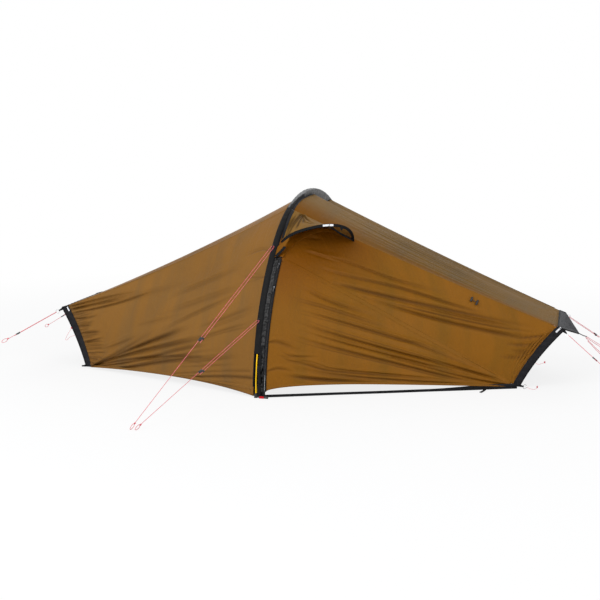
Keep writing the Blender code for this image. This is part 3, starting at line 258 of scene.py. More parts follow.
@dataclass(frozen=True)
class Cuts:
    """Sizes that the cloth pieces share."""

    fabric: float = 0.0012
    seam: float = 0.0006
    hem_height: float = 0.008
    hem_lift: float = 0.017
    crease_angle: float = math.radians(61)
    low_half_width: float = 0.300
    top_half_width: float = 0.270
    band_width: float = 0.040
    wall_top: float = 0.95
    visor_reach: float = 0.073
    visor_drop: float = 0.063
    visor_tip_half: float = 0.012
    visor_bend: float = 0.34
    zip_foot_angle: float = math.radians(1.6)
    ring_radius: float = 0.011
    ring_wire: float = 0.0015
    tab_reach: float = 0.020
    tab_share: float = 0.034
    crown_drop: float = 0.026
    crown_turn: float = math.radians(26)
    far_from: float = math.radians(90)
    far_turn: float = math.radians(16)
    far_drop: float = 0.034
    back_turn: float = math.radians(13)
    hood_droop: float = 0.021
    droop_reach: float = 0.24

    @property
    def band_inner(self) -> float:
        """Distance from a band's outer edge to the panel beside it."""
        return self.band_width + self.seam


CUT = Cuts()


def crown_drop(angle: float) -> float:
    """Returns how far the roof's edge hangs below the pole's line, most of all over the crown."""
    near = smooth_step((angle - CUT.crease_angle) / CUT.crown_turn)
    far = smooth_step((angle - CUT.far_from) / CUT.far_turn)
    back = smooth_step((math.pi - CUT.crease_angle - angle) / CUT.back_turn)
    return (CUT.crown_drop * near + CUT.far_drop * far) * back


def hood_droop(share: float) -> float:
    """Returns how far the hood's brim hangs below its solid beside the sleeve."""
    return CUT.hood_droop * max(1 - share / CUT.droop_reach, 0) ** 2


@dataclass(frozen=True)
class TentEnd:
    """Corners and edge curves of one end of the tent."""

    name: str
    side: int
    low_x: float
    top_x: float
    top_z: float
    bow: float
    sag: float
    front_swing: tuple[float, float]
    back_swing: tuple[float, float]

    def at(self, x: float, y: float, z: float) -> Vector:
        """Returns a vector whose x points out of the tent at this end."""
        return Vector((self.side * x, y, z))

    def low(self, face: int = -1) -> Vector:
        """Returns the pegged corner on the front, face -1, or the back, face 1."""
        return self.at(self.low_x, face * CUT.low_half_width, CUT.hem_height)

    def top(self, face: int = -1) -> Vector:
        """Returns the guyed corner."""
        return self.at(self.top_x, face * CUT.top_half_width, self.top_z)

    def edge(self, height: float, face: int = -1) -> Vector:
        """Returns a point of the end band's outer edge, which bows in towards the hoop."""
        inward = self.at(-self.bow * 4 * height * (1 - height), 0, 0)
        return self.low(face).lerp(self.top(face), height) + inward

    def ruling(self, share: float, height: float, face: int = -1) -> Vector:
        """Returns a side's point: share 0 at the sleeve, 1 at the band's outer edge."""
        angle = lerp(CUT.zip_foot_angle, CUT.crease_angle, height)
        start = HOOP.arch(math.pi - angle if face > 0 else angle, 0, self.side * HOOP.sleeve_edge)
        sag = lerp(-CUT.hem_lift, self.sag, height)
        return start.lerp(self.edge(height, face), share) - UP * (sag * 4 * share * (1 - share))

    def ruling_length(self, height: float, face: int = -1) -> float:
        """Returns the straight length of a side's line."""
        return (self.ruling(1, height, face) - self.ruling(0, height, face)).length

    def crease(self, share: float, face: int = -1) -> Vector:
        """Returns a point of the shoulder seam between a side and the roof."""
        return self.ruling(share, 1, face)

    def band(self, across: float, height: float, face: int = -1) -> Vector:
        """Returns the band's point that lies across metres in from its outer edge."""
        return self.ruling(1 - across / self.ruling_length(height, face), height, face)

    def side_panel(self, share: float, height: float, face: int = -1) -> Vector:
        """Returns a side panel's point, from the sleeve to the band's inner edge."""
        stop = 1 - CUT.band_inner / self.ruling_length(height, face)
        return self.ruling(share * stop, height, face)

    def roof(self, share: float, over: float) -> Vector:
        """Returns a roof point from the sleeve to the visor's seam; over runs front to back."""
        angle = lerp(CUT.crease_angle, math.pi - CUT.crease_angle, over)
        start = HOOP.arch(angle, -crown_drop(angle), self.side * HOOP.sleeve_edge)
        finish = self.top(-1).lerp(self.top(1), over)
        t = share * (1 - CUT.band_inner / (finish - start).length)
        return start.lerp(finish, t) - UP * (self.sag * 4 * t * (1 - t))

    def end_wall(self, over: float, height: float) -> Vector:
        """Returns a point of the mesh wall between the two bands."""
        gap = CUT.seam + CUT.fabric / 2
        front, back = (self.edge(height * CUT.wall_top, f) + self.at(gap, -f * gap, 0) for f in (-1, 1))
        return front.lerp(back, over)

    def visor_tip(self) -> Vector:
        """Returns the point where the visor is drawn out."""
        return self.at(self.top_x + CUT.visor_reach, 0, self.top_z - CUT.visor_drop)

    def visor(self, over: float, out: float) -> Vector:
        """Returns a visor point: out 0 at its seam on the roof, 1 at its drawn-out tip."""
        slip = self.at((CUT.fabric + CUT.seam) / 2, 0, 0)
        lift = UP * (CUT.fabric + CUT.seam)
        front, back = self.top(-1) + lift + slip, self.top(1) + lift + slip
        if out < CUT.visor_bend:
            t = out / CUT.visor_bend
            seam_front, seam_back = self.roof(1, 0) + slip, self.roof(1, 1) + slip
            return seam_front.lerp(front, t).lerp(seam_back.lerp(back, t), over)
        t = (out - CUT.visor_bend) / (1 - CUT.visor_bend)
        tip, half = self.visor_tip(), Vector((0, CUT.visor_tip_half, 0))
        return front.lerp(tip - half, t).lerp(back.lerp(tip + half, t), over)

    def pull(self, face: int, top: bool) -> Vector:
        """Returns the direction in which a corner is pulled."""
        if not top:
            return self.at(0.82, face * 0.57, 0).normalized()
        swing, drop = (math.radians(a) for a in (self.front_swing if face < 0 else self.back_swing))
        return self.at(math.cos(swing), face * math.sin(swing), 0) * math.cos(drop) - UP * math.sin(drop)

    def tab_seam(self, face: int, top: bool) -> tuple[Vector, Vector]:
        """Returns the two points of the band's edge between which a tab is sewn on."""
        low, high = (1 - CUT.tab_share, 1.0) if top else (0.0, CUT.tab_share)
        return self.band(0, low, face), self.band(0, high, face)

    def tab_frame(self, face: int, top: bool) -> Matrix:
        """Returns a tab's frame: X along the pull and Y along its width, at its seam."""
        low, high = self.tab_seam(face, top)
        x = self.pull(face, top)
        y = (high - low) - x * (high - low).dot(x)
        return frame_at((low + high) / 2, x, y.normalized())

    def ring_frame(self, face: int, top: bool) -> Matrix:
        """Returns a ring's frame: its middle, with Z along its axis."""
        return self.tab_frame(face, top) @ Matrix.Translation((CUT.tab_reach + CUT.ring_radius, 0, 0))


HEAD = TentEnd("head", 1, 1.180, 1.402, 0.313, 0.018, 0.010, (40, 29), (40, 31))
FOOT = TentEnd("foot", -1, 1.225, 1.373, 0.334, 0.012, 0.028, (40, 25), (30, 26))


@dataclass(frozen=True)
class Doorway:
    """Zip, door, the fixed cloth round it and the hood over it."""

    zip_along: float = 0.0465
    chain_width: float = 0.0038
    chain_gap: float = 0.0006
    zip_top_angle: float = math.radians(37)
    zip_turn: float = 0.62
    arch_end: float = 0.19
    arch_below_seam: float = 0.016
    hem_height: float = 0.022
    hem_lift: float = 0.030
    corner: float = 0.010
    fold_gap: float = 0.0016
    hood_reach: float = 0.232
    rim_radius: float = 0.0045
    rim_angle: float = math.radians(42.5)
    rim_end_drop: float = 0.020
    hood_lift: float = 0.0024
    hood_swell: float = 0.022
    hood_clear: float = 0.0035
    arch_share: float = 0.20
    seam_share: float = 0.88
    placket_turn: float = 0.42
    step: float = 1e-3

    @cached_property
    def chain_edge(self) -> float:
        """Distance from the zip's middle to its chain's outer edge."""
        return self.chain_gap / 2 + self.chain_width

    @cached_property
    def cloth_edge(self) -> float:
        """Distance from the zip's middle to the cloth beside it."""
        return self.chain_edge + CUT.seam

    @cached_property
    def leg_corner(self) -> Vector:
        """Top of the zip on the hoop's leg."""
        return HOOP.arch(self.zip_top_angle, 0, self.zip_along)

    @cached_property
    def fold_foot(self) -> Vector:
        """Lower end of the line on which the door folds."""
        return HEAD.band(CUT.band_inner, 0) + UP * (self.hem_height - CUT.hem_height)

    @cached_property
    def fold_top(self) -> Vector:
        """Upper end of the line on which the door folds."""
        return HOOP.arch(self.zip_top_angle, 0, self.zip_along + self.cloth_edge)

    @cached_property
    def fold_axis(self) -> Vector:
        """Direction of the fold line, upwards."""
        return (self.fold_top - self.fold_foot).normalized()

    @cached_property
    def door_normal(self) -> Vector:
        """Outward direction of the flat door."""
        zip_foot = HOOP.arch(CUT.zip_foot_angle, 0, self.zip_along)
        return self.fold_axis.cross(zip_foot - self.fold_foot).normalized()

    @cached_property
    def fold_down(self) -> Vector:
        """Direction in the door's plane from the fold line to the hem."""
        return self.door_normal.cross(self.fold_axis).normalized()

    @cached_property
    def panel_normal(self) -> Vector:
        """Outward direction of the fixed cloth over the door."""
        return (HEAD.crease(0.3) - self.fold_foot).cross(self.fold_axis).normalized()

    @cached_property
    def panel_down(self) -> Vector:
        """Direction in the fixed cloth from the shoulder seam downwards."""
        shoulder = (HEAD.crease(1) - HEAD.crease(0)).normalized()
        return shoulder.cross(self.panel_normal).normalized()

    @cached_property
    def hinge_point(self) -> Vector:
        """Upper end of the zip, under the shoulder seam."""
        return HEAD.crease(self.arch_end) + self.panel_down * self.arch_below_seam

    def leg_angle(self, share: float) -> float:
        """Returns the hoop's angle beside a point of the zip on the leg."""
        return lerp(CUT.zip_foot_angle, self.zip_top_angle, share / self.zip_turn)

    def arch_part(self, share: float) -> float:
        """Returns how far along its arch a point of the zip lies."""
        return (share - self.zip_turn) / (1 - self.zip_turn)

    def zip_centre(self, share: float) -> Vector:
        """Returns a point of the zip: up the hoop's leg, then over under the hood."""
        if share < self.zip_turn:
            return HOOP.arch(self.leg_angle(share), 0, self.zip_along)
        rise = self.leg_corner + Vector((0.0447, 0.1594, 0.1243)) * HOOP.crown_radius
        dip = self.hinge_point + Vector((-0.1556, 0.0399, 0.1199)) * HOOP.crown_radius
        return bezier(self.leg_corner, rise, dip, self.hinge_point, self.arch_part(share))

    def zip_normal(self, share: float) -> Vector:
        """Returns the outward direction of the cloth along the zip."""
        if share <= self.zip_turn:
            return HOOP.out(self.leg_angle(share))
        part = min(1, self.arch_part(share) * 2)
        return HOOP.out(self.zip_top_angle).lerp(self.panel_normal, part).normalized()

    def zip_side(self, share: float, offset: float, lift: float = 0.0) -> Vector:
        """Returns a point beside the zip; a positive offset lies on the door side."""
        ahead, behind = min(share + self.step, 1), max(share - self.step, 0)
        normal = self.zip_normal(share)
        door_side = (self.zip_centre(ahead) - self.zip_centre(behind)).cross(normal).normalized()
        if door_side.dot(HOOP.along - UP) < 0:
            door_side.negate()
        return self.zip_centre(share) + door_side * offset + normal * lift

    def door(self, share: float, height: float) -> Vector:
        """Returns a door point: share 0 at the zip, 1 at the pegged corner; height 1 at the fold."""
        top = self.zip_top_angle - self.fold_gap / HOOP.leg_radius
        angle = lerp(CUT.zip_foot_angle, top, height)
        edge = HOOP.arch(angle, 0, self.zip_along + self.cloth_edge)
        corner = self.fold_foot + self.fold_down * lerp(self.corner, self.fold_gap, height)
        lift = self.hem_lift * hump(share ** 0.5) * (1 - height) ** 3
        return edge.lerp(corner, share) + UP * lift

    def upper_edge(self, share: float) -> Vector:
        """Returns a point of the fixed side's upper outline: zip, shoulder seam, then the band."""
        if share < self.arch_share:
            return self.zip_side(lerp(self.zip_turn, 1, share / self.arch_share), self.cloth_edge)
        if share < self.seam_share:
            t = (share - self.arch_share) / (self.seam_share - self.arch_share)
            corner = 1 - CUT.band_inner / HEAD.ruling_length(1)
            return HEAD.crease(lerp(self.arch_end + 0.03, corner, t)) + self.panel_down * CUT.seam * 1.5
        rest = (share - self.seam_share) / (1 - self.seam_share)
        return HEAD.band(CUT.band_inner, 1 - rest)

    def fixed_side(self, share: float, height: float) -> Vector:
        """Returns a point of the fixed head side: height 0 on the fold, 1 on its upper outline."""
        low = self.fold_top.lerp(self.fold_foot, share) - self.fold_down * self.fold_gap
        return low.lerp(self.upper_edge(share), height)

    def placket(self, share: float, across: float) -> Vector:
        """Returns a point of the black strip between the sleeve, across 0, and the zip, 1."""
        t = self.arch_part(share)
        if t < 0:
            high = HOOP.arch(self.leg_angle(share), 0, HOOP.sleeve_edge)
        elif t < self.placket_turn:
            angle = lerp(self.zip_top_angle, CUT.crease_angle - 0.01, t / self.placket_turn)
            high = HOOP.arch(angle, 0, HOOP.sleeve_edge)
        else:
            place = lerp(0.004, self.arch_end, (t - self.placket_turn) / (1 - self.placket_turn))
            high = HEAD.crease(place) + self.panel_down * CUT.fabric * 1.5
        return high.lerp(self.zip_side(share, -self.cloth_edge), across)

    def rim(self, share: float) -> Vector:
        """Returns a point of the middle line of the hood's stiff brim."""
        start = HOOP.arch(self.rim_angle, 0, HOOP.sleeve_edge + self.rim_radius + CUT.seam)
        end = (HEAD.crease(self.hood_reach) + self.panel_down * self.rim_end_drop
               + self.panel_normal * (self.rim_radius + CUT.fabric + CUT.seam))
        rise = start + Vector((0.1649, -0.1837, 0.1060)) * HOOP.crown_radius
        dip = end + Vector((0.0769, -0.3794, 0.2556)) * HOOP.crown_radius
        return bezier(start, rise, dip, end, share)

    def rim_along(self, share: float) -> Vector:
        """Returns the direction of the brim."""
        return (self.rim(min(share + 0.01, 1)) - self.rim(max(share - 0.01, 0))).normalized()

    def hood_ruling(self, share: float, up: float) -> Vector:
        """Returns a point of the hood's straight line from its brim to the shoulder seam."""
        rim, along = self.rim(share), self.rim_along(share)
        high = HEAD.crease(lerp(0.004, self.hood_reach, share)) + self.panel_normal * self.hood_lift
        away = (high - rim) - along * (high - rim).dot(along)
        return (rim + away.normalized() * (self.rim_radius + CUT.seam * 2)).lerp(high, up)

    def hood(self, share: float, up: float) -> Vector:
        """Returns a hood point: up 0 above the brim, 1 at the shoulder seam."""
        side = HOOP.sleeve_edge + CUT.seam + CUT.fabric / 2
        leg = HOOP.arch(lerp(self.rim_angle + 0.012, CUT.crease_angle, up), self.hood_clear, side)
        swing = leg - self.hood_ruling(0, up)
        swell = OUT * (self.hood_swell * hump(up) * hump(share))
        return self.hood_ruling(share, up) + swing * (1 - share) ** 3 + swell

    def brim(self, share: float) -> Vector:
        """Returns a point of the brim's middle line, whose end beside the sleeve droops."""
        return self.rim(share) - UP * hood_droop(share)

    def hood_cloth(self, share: float, up: float) -> Vector:
        """Returns a point of the hood's cloth, which follows the brim."""
        return self.hood(share, up) - UP * hood_droop(share) * (1 - up) ** 2


DOORWAY = Doorway()


# Finishes


def srgb(code: str) -> tuple[float, float, float, float]:
    """Turns an sRGB hex colour such as "#97703B" into Blender's linear one."""
    parts = (int(code[k:k + 2], 16) / 255 for k in (1, 3, 5))
    linear = [c / 12.92 if c <= 0.04045 else ((c + 0.055) / 1.055) ** 2.4 for c in parts]
    return (*linear, 1.0)


def add_node(tree: bpy.types.NodeTree, kind: str, inputs: Optional[dict] = None, out: int | str = 0,
             **settings) -> Optional[Socket]:
    """Adds a node with its settings, and sets or links its inputs.

    Args:
        tree: Node tree that gets the node.
        kind: Blender's name of the node type; that of a shader node without "ShaderNode".
        inputs: Value, or the socket to link from, for each input by name or number.
        out: Name or number of the output that is wanted.
        **settings: The node's own properties.

    Returns:
        The wanted output, or nothing for a node without outputs.
    """
    made = tree.nodes.new(kind if "Node" in kind else "ShaderNode" + kind)
    for name, value in settings.items():
        setattr(made, name, value)
    for key, value in (inputs or {}).items():
        if isinstance(value, Socket):
            tree.links.new(value, made.inputs[key])
        else:
            made.inputs[key].default_value = value
    return made.outputs[out] if len(made.outputs) else None


@dataclass(frozen=True)
class Finish:
    """What a surface is made of; its material is made once."""

    name: str

    def material(self) -> bpy.types.Material:
        """Returns the finish's material."""
        made = bpy.data.materials.get(self.name)
        if not made:
            made = bpy.data.materials.new(self.name)
            made.use_nodes = True
            made.node_tree.nodes.clear()
            node = partial(add_node, made.node_tree)
            node("OutputMaterial", {"Surface": self.surface(node)})
        return made

    def surface(self, node: NodeMaker) -> Socket:
        """Builds the shader and returns its output."""
        raise NotImplementedError


@dataclass(frozen=True)
class RipstopNylon(Finish):
    """Coated ripstop nylon, 0.1 mm thin and calendered.

    The eye gets a satin brown skin with a square grid of thicker threads and a warm glow where light
    comes through from behind. Its folds are painted darker, as painted shade in their valleys, and
    the attribute shade paints the deep orange shade under the hood.
    """

    colour: str = "#8B6026"
    # folds and dull are painted shade: the colour of crease valleys and of long greyer streaks
    folds: str = "#4A2E08"
    dull: str = "#6C5532"
    glow: str = "#B06A10"
    glow_share: float = 0.16
    grid_mm: float = 5.0
    roughness: float = 0.5
    shine: float = 0.16

    def surface(self, node: NodeMaker) -> Socket:
        """Builds the shader and returns its output."""
        uv, place = node("UVMap", uv_map="cloth"), node("TexCoord", out="Object")
        fold = node("Attribute", out="Fac", attribute_name="fold")
        shade = node("Attribute", out="Fac", attribute_name="shade")
        cloudy = node("TexNoise", {"Vector": place, "Scale": 2.4, "Detail": 3.0, "Roughness": 0.55})
        spread = node("MapRange", {0: cloudy, 1: 0.3, 2: 0.7, 3: 0.93, 4: 1.06})
        # Painted light and shade: the coat is painted greyer in long random streaks along the cloth, for the
        # shaded sides of its soft ridges and the sky reflected where it lies flat
        streak = node("Mapping", {0: uv, "Scale": (9.0, 1.6, 1.0)})
        grey = node("TexNoise", {"Vector": streak, "Scale": 1.0, "Detail": 2.0, "Distortion": 0.4})
        share = node("MapRange", {0: grey, 1: 0.42, 2: 0.72, 3: 0.0, 4: 0.5})
        base = node("Mix", {0: share, 6: srgb(self.colour), 7: srgb(self.dull)}, 2, data_type="RGBA")
        # Painted shade: the attribute fold darkens crease valleys towards the folds colour
        depth = node("MapRange", {0: fold, 1: 0.0, 2: 1.0, 3: 0.0, 4: 0.72})
        crease_shaded = node("Mix", {0: depth, 6: base, 7: srgb(self.folds)}, 2, data_type="RGBA")
        # Painted shade: where the attribute shade is set, under the hood, the cloth is painted the deep
        # orange that shade and the dark tent behind give it
        lee = node("Mix", {0: shade, 6: crease_shaded, 7: srgb("#7E4A02")}, 2, data_type="RGBA")
        varied = node("VectorMath", {0: lee, 1: spread}, operation="MULTIPLY")
        # Ripstop threads at their real spacing; the render only shows them close up
        ribs = []
        for part in node("SeparateXYZ", {0: uv}).node.outputs[:2]:
            cell = node("Math", {0: part, 1: 1000 / self.grid_mm}, operation="MULTIPLY")
            wave = node("Math", {0: cell, 1: 0.5}, operation="PINGPONG")
            ribs.append(node("Math", {0: wave, 1: 0.06}, operation="LESS_THAN"))
        grid = node("Math", {0: ribs[0], 1: ribs[1]}, operation="MAXIMUM")
        # Fine tension wrinkles run along the cloth; they are 8 to 40 mm apart on a real fly
        drawn = node("Mapping", {0: uv, "Scale": (30.0, 3.0, 1.0)})
        wrinkle = node("TexNoise", {"Vector": drawn, "Scale": 1.0, "Detail": 3.0, "Distortion": 0.6})
        crinkle = node("TexNoise", {"Vector": place, "Scale": 26.0, "Detail": 2.0})
        soft = node("Math", {0: wrinkle, 1: crinkle}, operation="ADD")
        bump = node("Bump", {"Height": soft, "Strength": 0.45, "Distance": 6 * MM})
        woven = node("Bump", {"Height": grid, "Strength": 0.35, "Distance": 0.12 * MM, "Normal": bump})
        shader = node("BsdfPrincipled", {"Base Color": varied, "Roughness": self.roughness,
                                         "Normal": woven, "Specular IOR Level": self.shine})
        through = node("BsdfTranslucent", {"Color": srgb(self.glow), "Normal": bump})
        return node("MixShader", {0: self.glow_share, 1: shader, 2: through})


@dataclass(frozen=True)
class CoatedCloth(Finish):
    """Heavier coated nylon of sleeve, bands, visors, binding and groundsheet.

    The eye gets a dull dark cloth with a plain weave, slight creasing and paler worn ridges. The
    attribute tone turns it from the first colour to the second.
    """

    colour: str = "#232326"
    other: str = "#77797C"
    weave_mm: float = 1.2
    roughness: float = 0.62
    crumple: float = 0.25
    shine: float = 0.14

    def surface(self, node: NodeMaker) -> Socket:
        """Builds the shader and returns its output."""
        uv, place = node("UVMap", uv_map="cloth"), node("TexCoord", out="Object")
        tone = node("Attribute", out="Fac", attribute_name="tone")
        base = node("Mix", {0: tone, 6: srgb(self.colour), 7: srgb(self.other)}, 2, data_type="RGBA")
        worn = node("TexNoise", {"Vector": place, "Scale": 55.0, "Detail": 3.0})
        paler = node("MapRange", {0: worn, 1: 0.35, 2: 0.75, 3: 0.82, 4: 1.5})
        varied = node("VectorMath", {0: base, 1: paler}, operation="MULTIPLY")
        threads = []
        for part in node("SeparateXYZ", {0: uv}).node.outputs[:2]:
            cell = node("Math", {0: part, 1: 2000 * math.pi / self.weave_mm}, operation="MULTIPLY")
            threads.append(node("Math", {0: cell}, operation="SINE"))
        weave = node("Math", {0: threads[0], 1: threads[1]}, operation="MULTIPLY")
        crease = node("TexNoise", {"Vector": place, "Scale": 38.0, "Detail": 4.0, "Roughness": 0.6})
        bump = node("Bump", {"Height": crease, "Strength": self.crumple, "Distance": 8 * MM})
        fine = node("Bump", {"Height": weave, "Strength": 0.4, "Distance": 0.1 * MM, "Normal": bump})
        return node("BsdfPrincipled", {"Base Color": varied, "Roughness": self.roughness,
                                       "Normal": fine, "Specular IOR Level": self.shine})


@dataclass(frozen=True)
class Webbing(Finish):
    """Woven polyamide webbing and thread.

    The eye gets a matt black strap with ribs across it every 1.6 mm and a slight fuzz.
    """

    colour: str = "#0F0F11"
    rib_mm: float = 1.6

    def surface(self, node: NodeMaker) -> Socket:
        """Builds the shader and returns its output."""
        uv, place = node("UVMap", uv_map="cloth"), node("TexCoord", out="Object")
        ribs = node("TexWave", {"Vector": uv, "Scale": 50 / self.rib_mm, "Distortion": 0.4}, "Fac",
                    bands_direction="Y")
        fuzz = node("TexNoise", {"Vector": place, "Scale": 420.0, "Detail": 2.0})
        light = node("MapRange", {0: fuzz, 1: 0.3, 2: 0.7, 3: 0.8, 4: 1.35})
        varied = node("VectorMath", {0: srgb(self.colour)[:3], 1: light}, operation="MULTIPLY")
        bump = node("Bump", {"Height": ribs, "Strength": 0.6, "Distance": 0.25 * MM})
        return node("BsdfPrincipled", {"Base Color": varied, "Roughness": 0.8, "Normal": bump,
                                       "Specular IOR Level": 0.18})


@dataclass(frozen=True)
class InnerCloth(Finish):
    """Thin uncoated nylon of the inner tent.

    The eye gets a cream cloth that glows evenly, with soft wrinkles and a fine plain weave.
    """

    colour: str = "#D2BE92"
    glow_share: float = 0.35

    def surface(self, node: NodeMaker) -> Socket:
        """Builds the shader and returns its output."""
        place = node("TexCoord", out="Object")
        cloudy = node("TexNoise", {"Vector": place, "Scale": 6.0, "Detail": 4.0})
        mixed = node("Mix", {0: cloudy, 6: srgb(self.colour), 7: srgb("#BBA678")}, 2, data_type="RGBA")
        fine = node("TexNoise", {"Vector": place, "Scale": 900.0})
        both = node("Math", {0: cloudy, 1: 30.0}, operation="MULTIPLY")
        height = node("Math", {0: both, 1: fine}, operation="ADD")
        bump = node("Bump", {"Height": height, "Strength": 0.3, "Distance": 0.4 * MM})
        shader = node("BsdfPrincipled", {"Base Color": mixed, "Roughness": 0.7, "Normal": bump})
        through = node("BsdfTranslucent", {"Color": srgb(self.colour)})
        return node("MixShader", {0: self.glow_share, 1: shader, 2: through})


@dataclass(frozen=True)
class Netting(Finish):
    """Fine polyester netting.

    The eye gets a dark veil that one can partly see through. The real holes are 1.5 mm across,
    too fine for the picture, so they are drawn 4 mm apart.
    """

    hole_mm: float = 4.0

    def surface(self, node: NodeMaker) -> Socket:
        """Builds the shader and returns its output."""
        uv = node("UVMap", uv_map="cloth")
        cells = node("TexVoronoi", {"Vector": uv, "Scale": 1000 / self.hole_mm, "Randomness": 0.0},
                     feature="F1")
        hole = node("Math", {0: cells, 1: 0.40}, operation="LESS_THAN")
        thread = node("BsdfPrincipled", {"Base Color": srgb("#2A2A2C"), "Roughness": 0.8})
        return node("MixShader", {0: hole, 1: thread, 2: node("BsdfTransparent")})


@dataclass(frozen=True)
class BraidedCord(Finish):
    """Braided polyester cord, 2.5 mm thick.

    The eye gets red and white strands that cross in a diamond pattern and blend to pink from
    afar. The strands are 3 mm long, drawn 9 mm long so that they show.
    """

    colour: str = "#CE2F3E"
    fleck: str = "#E88D96"
    strand_mm: float = 9.0
    fleck_share: float = 0.38

    def surface(self, node: NodeMaker) -> Socket:
        """Builds the shader and returns its output."""
        across, along = node("SeparateXYZ", {0: node("UVMap", uv_map="cloth")}).node.outputs[:2]
        waves = []
        for way in (1.0, -1.0):
            turn = node("Math", {0: across, 1: way * 2000 * math.pi / 2.5}, operation="MULTIPLY")
            run = node("Math", {0: along, 1: 2000 * math.pi / self.strand_mm}, operation="MULTIPLY")
            both = node("Math", {0: turn, 1: run}, operation="ADD")
            waves.append(node("Math", {0: both}, operation="SINE"))
        braid = node("Math", {0: waves[0], 1: waves[1]}, operation="MAXIMUM")
        edge = node("MapRange", {0: braid, 1: 1.0 - self.fleck_share * 1.2,
                                 2: 1.15 - self.fleck_share * 1.2, 3: 0.0, 4: 1.0})
        colour = node("Mix", {0: edge, 6: srgb(self.colour), 7: srgb(self.fleck)}, 2, data_type="RGBA")
        bump = node("Bump", {"Height": braid, "Strength": 0.5, "Distance": 0.2 * MM})
        return node("BsdfPrincipled", {"Base Color": colour, "Roughness": 0.75, "Normal": bump})


@dataclass(frozen=True)
class AnodisedTube(Finish):
    """Drawn aluminium tube, anodised gold.

    The eye gets a bright yellow satin metal with faint drawing lines along the tube and paler
    rubbed patches.
    """

    def surface(self, node: NodeMaker) -> Socket:
        """Builds the shader and returns its output."""
        place = node("TexCoord", out="Object")
        drawn = node("Mapping", {0: place, "Scale": (900.0, 900.0, 9.0)})
        lines = node("TexNoise", {"Vector": drawn, "Scale": 1.0, "Detail": 2.0})
        rubbed = node("TexNoise", {"Vector": place, "Scale": 30.0, "Detail": 3.0})
        wear = node("MapRange", {0: rubbed, 1: 0.5, 2: 0.8, 3: 0.0, 4: 0.35})
        colour = node("Mix", {0: wear, 6: srgb("#FFCB16"), 7: srgb("#FFE58A")}, 2, data_type="RGBA")
        rough = node("MapRange", {0: lines, 3: 0.24, 4: 0.42})
        bump = node("Bump", {"Height": lines, "Strength": 0.15, "Distance": 0.05 * MM})
        return node("BsdfPrincipled", {"Base Color": colour, "Roughness": rough, "Metallic": 0.85,
                                       "Normal": bump})


@dataclass(frozen=True)
class PlatedSteel(Finish):
    """Bent steel wire, nickel plated and tumbled.

    The eye gets a bright grey metal with soft scratches.
    """

    colour: str = "#BFC1C4"
    worn: str = "#D9DADC"

    def surface(self, node: NodeMaker) -> Socket:
        """Builds the shader and returns its output."""
        place = node("TexCoord", out="Object")
        scratch = node("TexNoise", {"Vector": place, "Scale": 320.0, "Detail": 4.0})
        rough = node("MapRange", {0: scratch, 3: 0.16, 4: 0.42})
        colour = node("Mix", {0: scratch, 6: srgb(self.colour), 7: srgb(self.worn)}, 2, data_type="RGBA")
        bump = node("Bump", {"Height": scratch, "Strength": 0.1, "Distance": 0.05 * MM})
        return node("BsdfPrincipled", {"Base Color": colour, "Roughness": rough, "Metallic": 1.0,
                                       "Normal": bump})


@dataclass(frozen=True)
class MouldedPlastic(Finish):
    """Injection-moulded acetal with a fine spark-eroded grain.

    The eye gets a near-black plastic with soft highlights and slightly greyer rubbed places.
    """

    colour: str = "#141416"
    grain_mm: float = 0.6

    def surface(self, node: NodeMaker) -> Socket:
        """Builds the shader and returns its output."""
        place = node("TexCoord", out="Object")
        grain = node("TexNoise", {"Vector": place, "Scale": 1000 / self.grain_mm, "Detail": 2.0})
        rubbed = node("TexNoise", {"Vector": place, "Scale": 120.0, "Detail": 2.0})
        wear = node("MapRange", {0: rubbed, 1: 0.45, 2: 0.8, 3: 0.0, 4: 0.5})
        colour = node("Mix", {0: wear, 6: srgb(self.colour), 7: srgb("#3A3A3E")}, 2, data_type="RGBA")
        bump = node("Bump", {"Height": grain, "Strength": 0.25, "Distance": 0.05 * MM})
        return node("BsdfPrincipled", {"Base Color": colour, "Roughness": 0.42, "Normal": bump,
                                       "IOR": 1.48})


@dataclass(frozen=True)
class ReflectiveTape(Finish):
    """Glass-bead tape.

    The eye gets a plain silvery white strip with a faint grain.
    """

    def surface(self, node: NodeMaker) -> Socket:
        """Builds the shader and returns its output."""
        beads = node("TexVoronoi", {"Vector": node("TexCoord", out="Object"), "Scale": 1500.0})
        colour = node("Mix", {0: beads, 6: srgb("#F2F3F5"), 7: srgb("#D3D6DA")}, 2, data_type="RGBA")
        return node("BsdfPrincipled", {"Base Color": colour, "Roughness": 0.35,
                                       "Specular IOR Level": 0.7})


# Painted light and shade: these four are one ripstop cloth, coloured apart for the light that each part gets,
# the head roof greyer under the sky, the door warmer where light comes through and the hood's folds near
# black
SIDE_CLOTH = RipstopNylon("ripstop_side")
ROOF_CLOTH = RipstopNylon("ripstop_roof", "#7F6030", "#4A3718", "#6C5C42", roughness=0.62, shine=0.04)
DOOR_CLOTH = RipstopNylon("ripstop_door", "#8C5A0E", "#4F2E02", "#70500F", "#B86C08", 0.2)
HOOD_CLOTH = RipstopNylon("ripstop_hood", "#8A6630", "#2A1B05", "#6A5024", roughness=0.62, shine=0.04)
SLEEVE_CLOTH = CoatedCloth("coated_sleeve", "#0B0B0C", "#6B6B6B")
BAND_CLOTH = CoatedCloth("coated_band", "#19191C", "#2C2C30", crumple=0.2)
VISOR_CLOTH = CoatedCloth("coated_visor", "#25262A", "#45464A", crumple=0.15)
PLACKET_CLOTH = CoatedCloth("coated_placket", "#0A0A0B", "#8A8C90", crumple=0.9, roughness=0.34, shine=0.3)
FLOOR_CLOTH = CoatedCloth("coated_groundsheet", "#3C3D41", "#55565A", crumple=0.1)
BINDING = Webbing("woven_binding", "#0D0D0F", 1.2)
STRAP = Webbing("woven_strap")
RED_TAPE = Webbing("woven_red_tape", "#B3121C")
INNER = InnerCloth("inner_nylon")
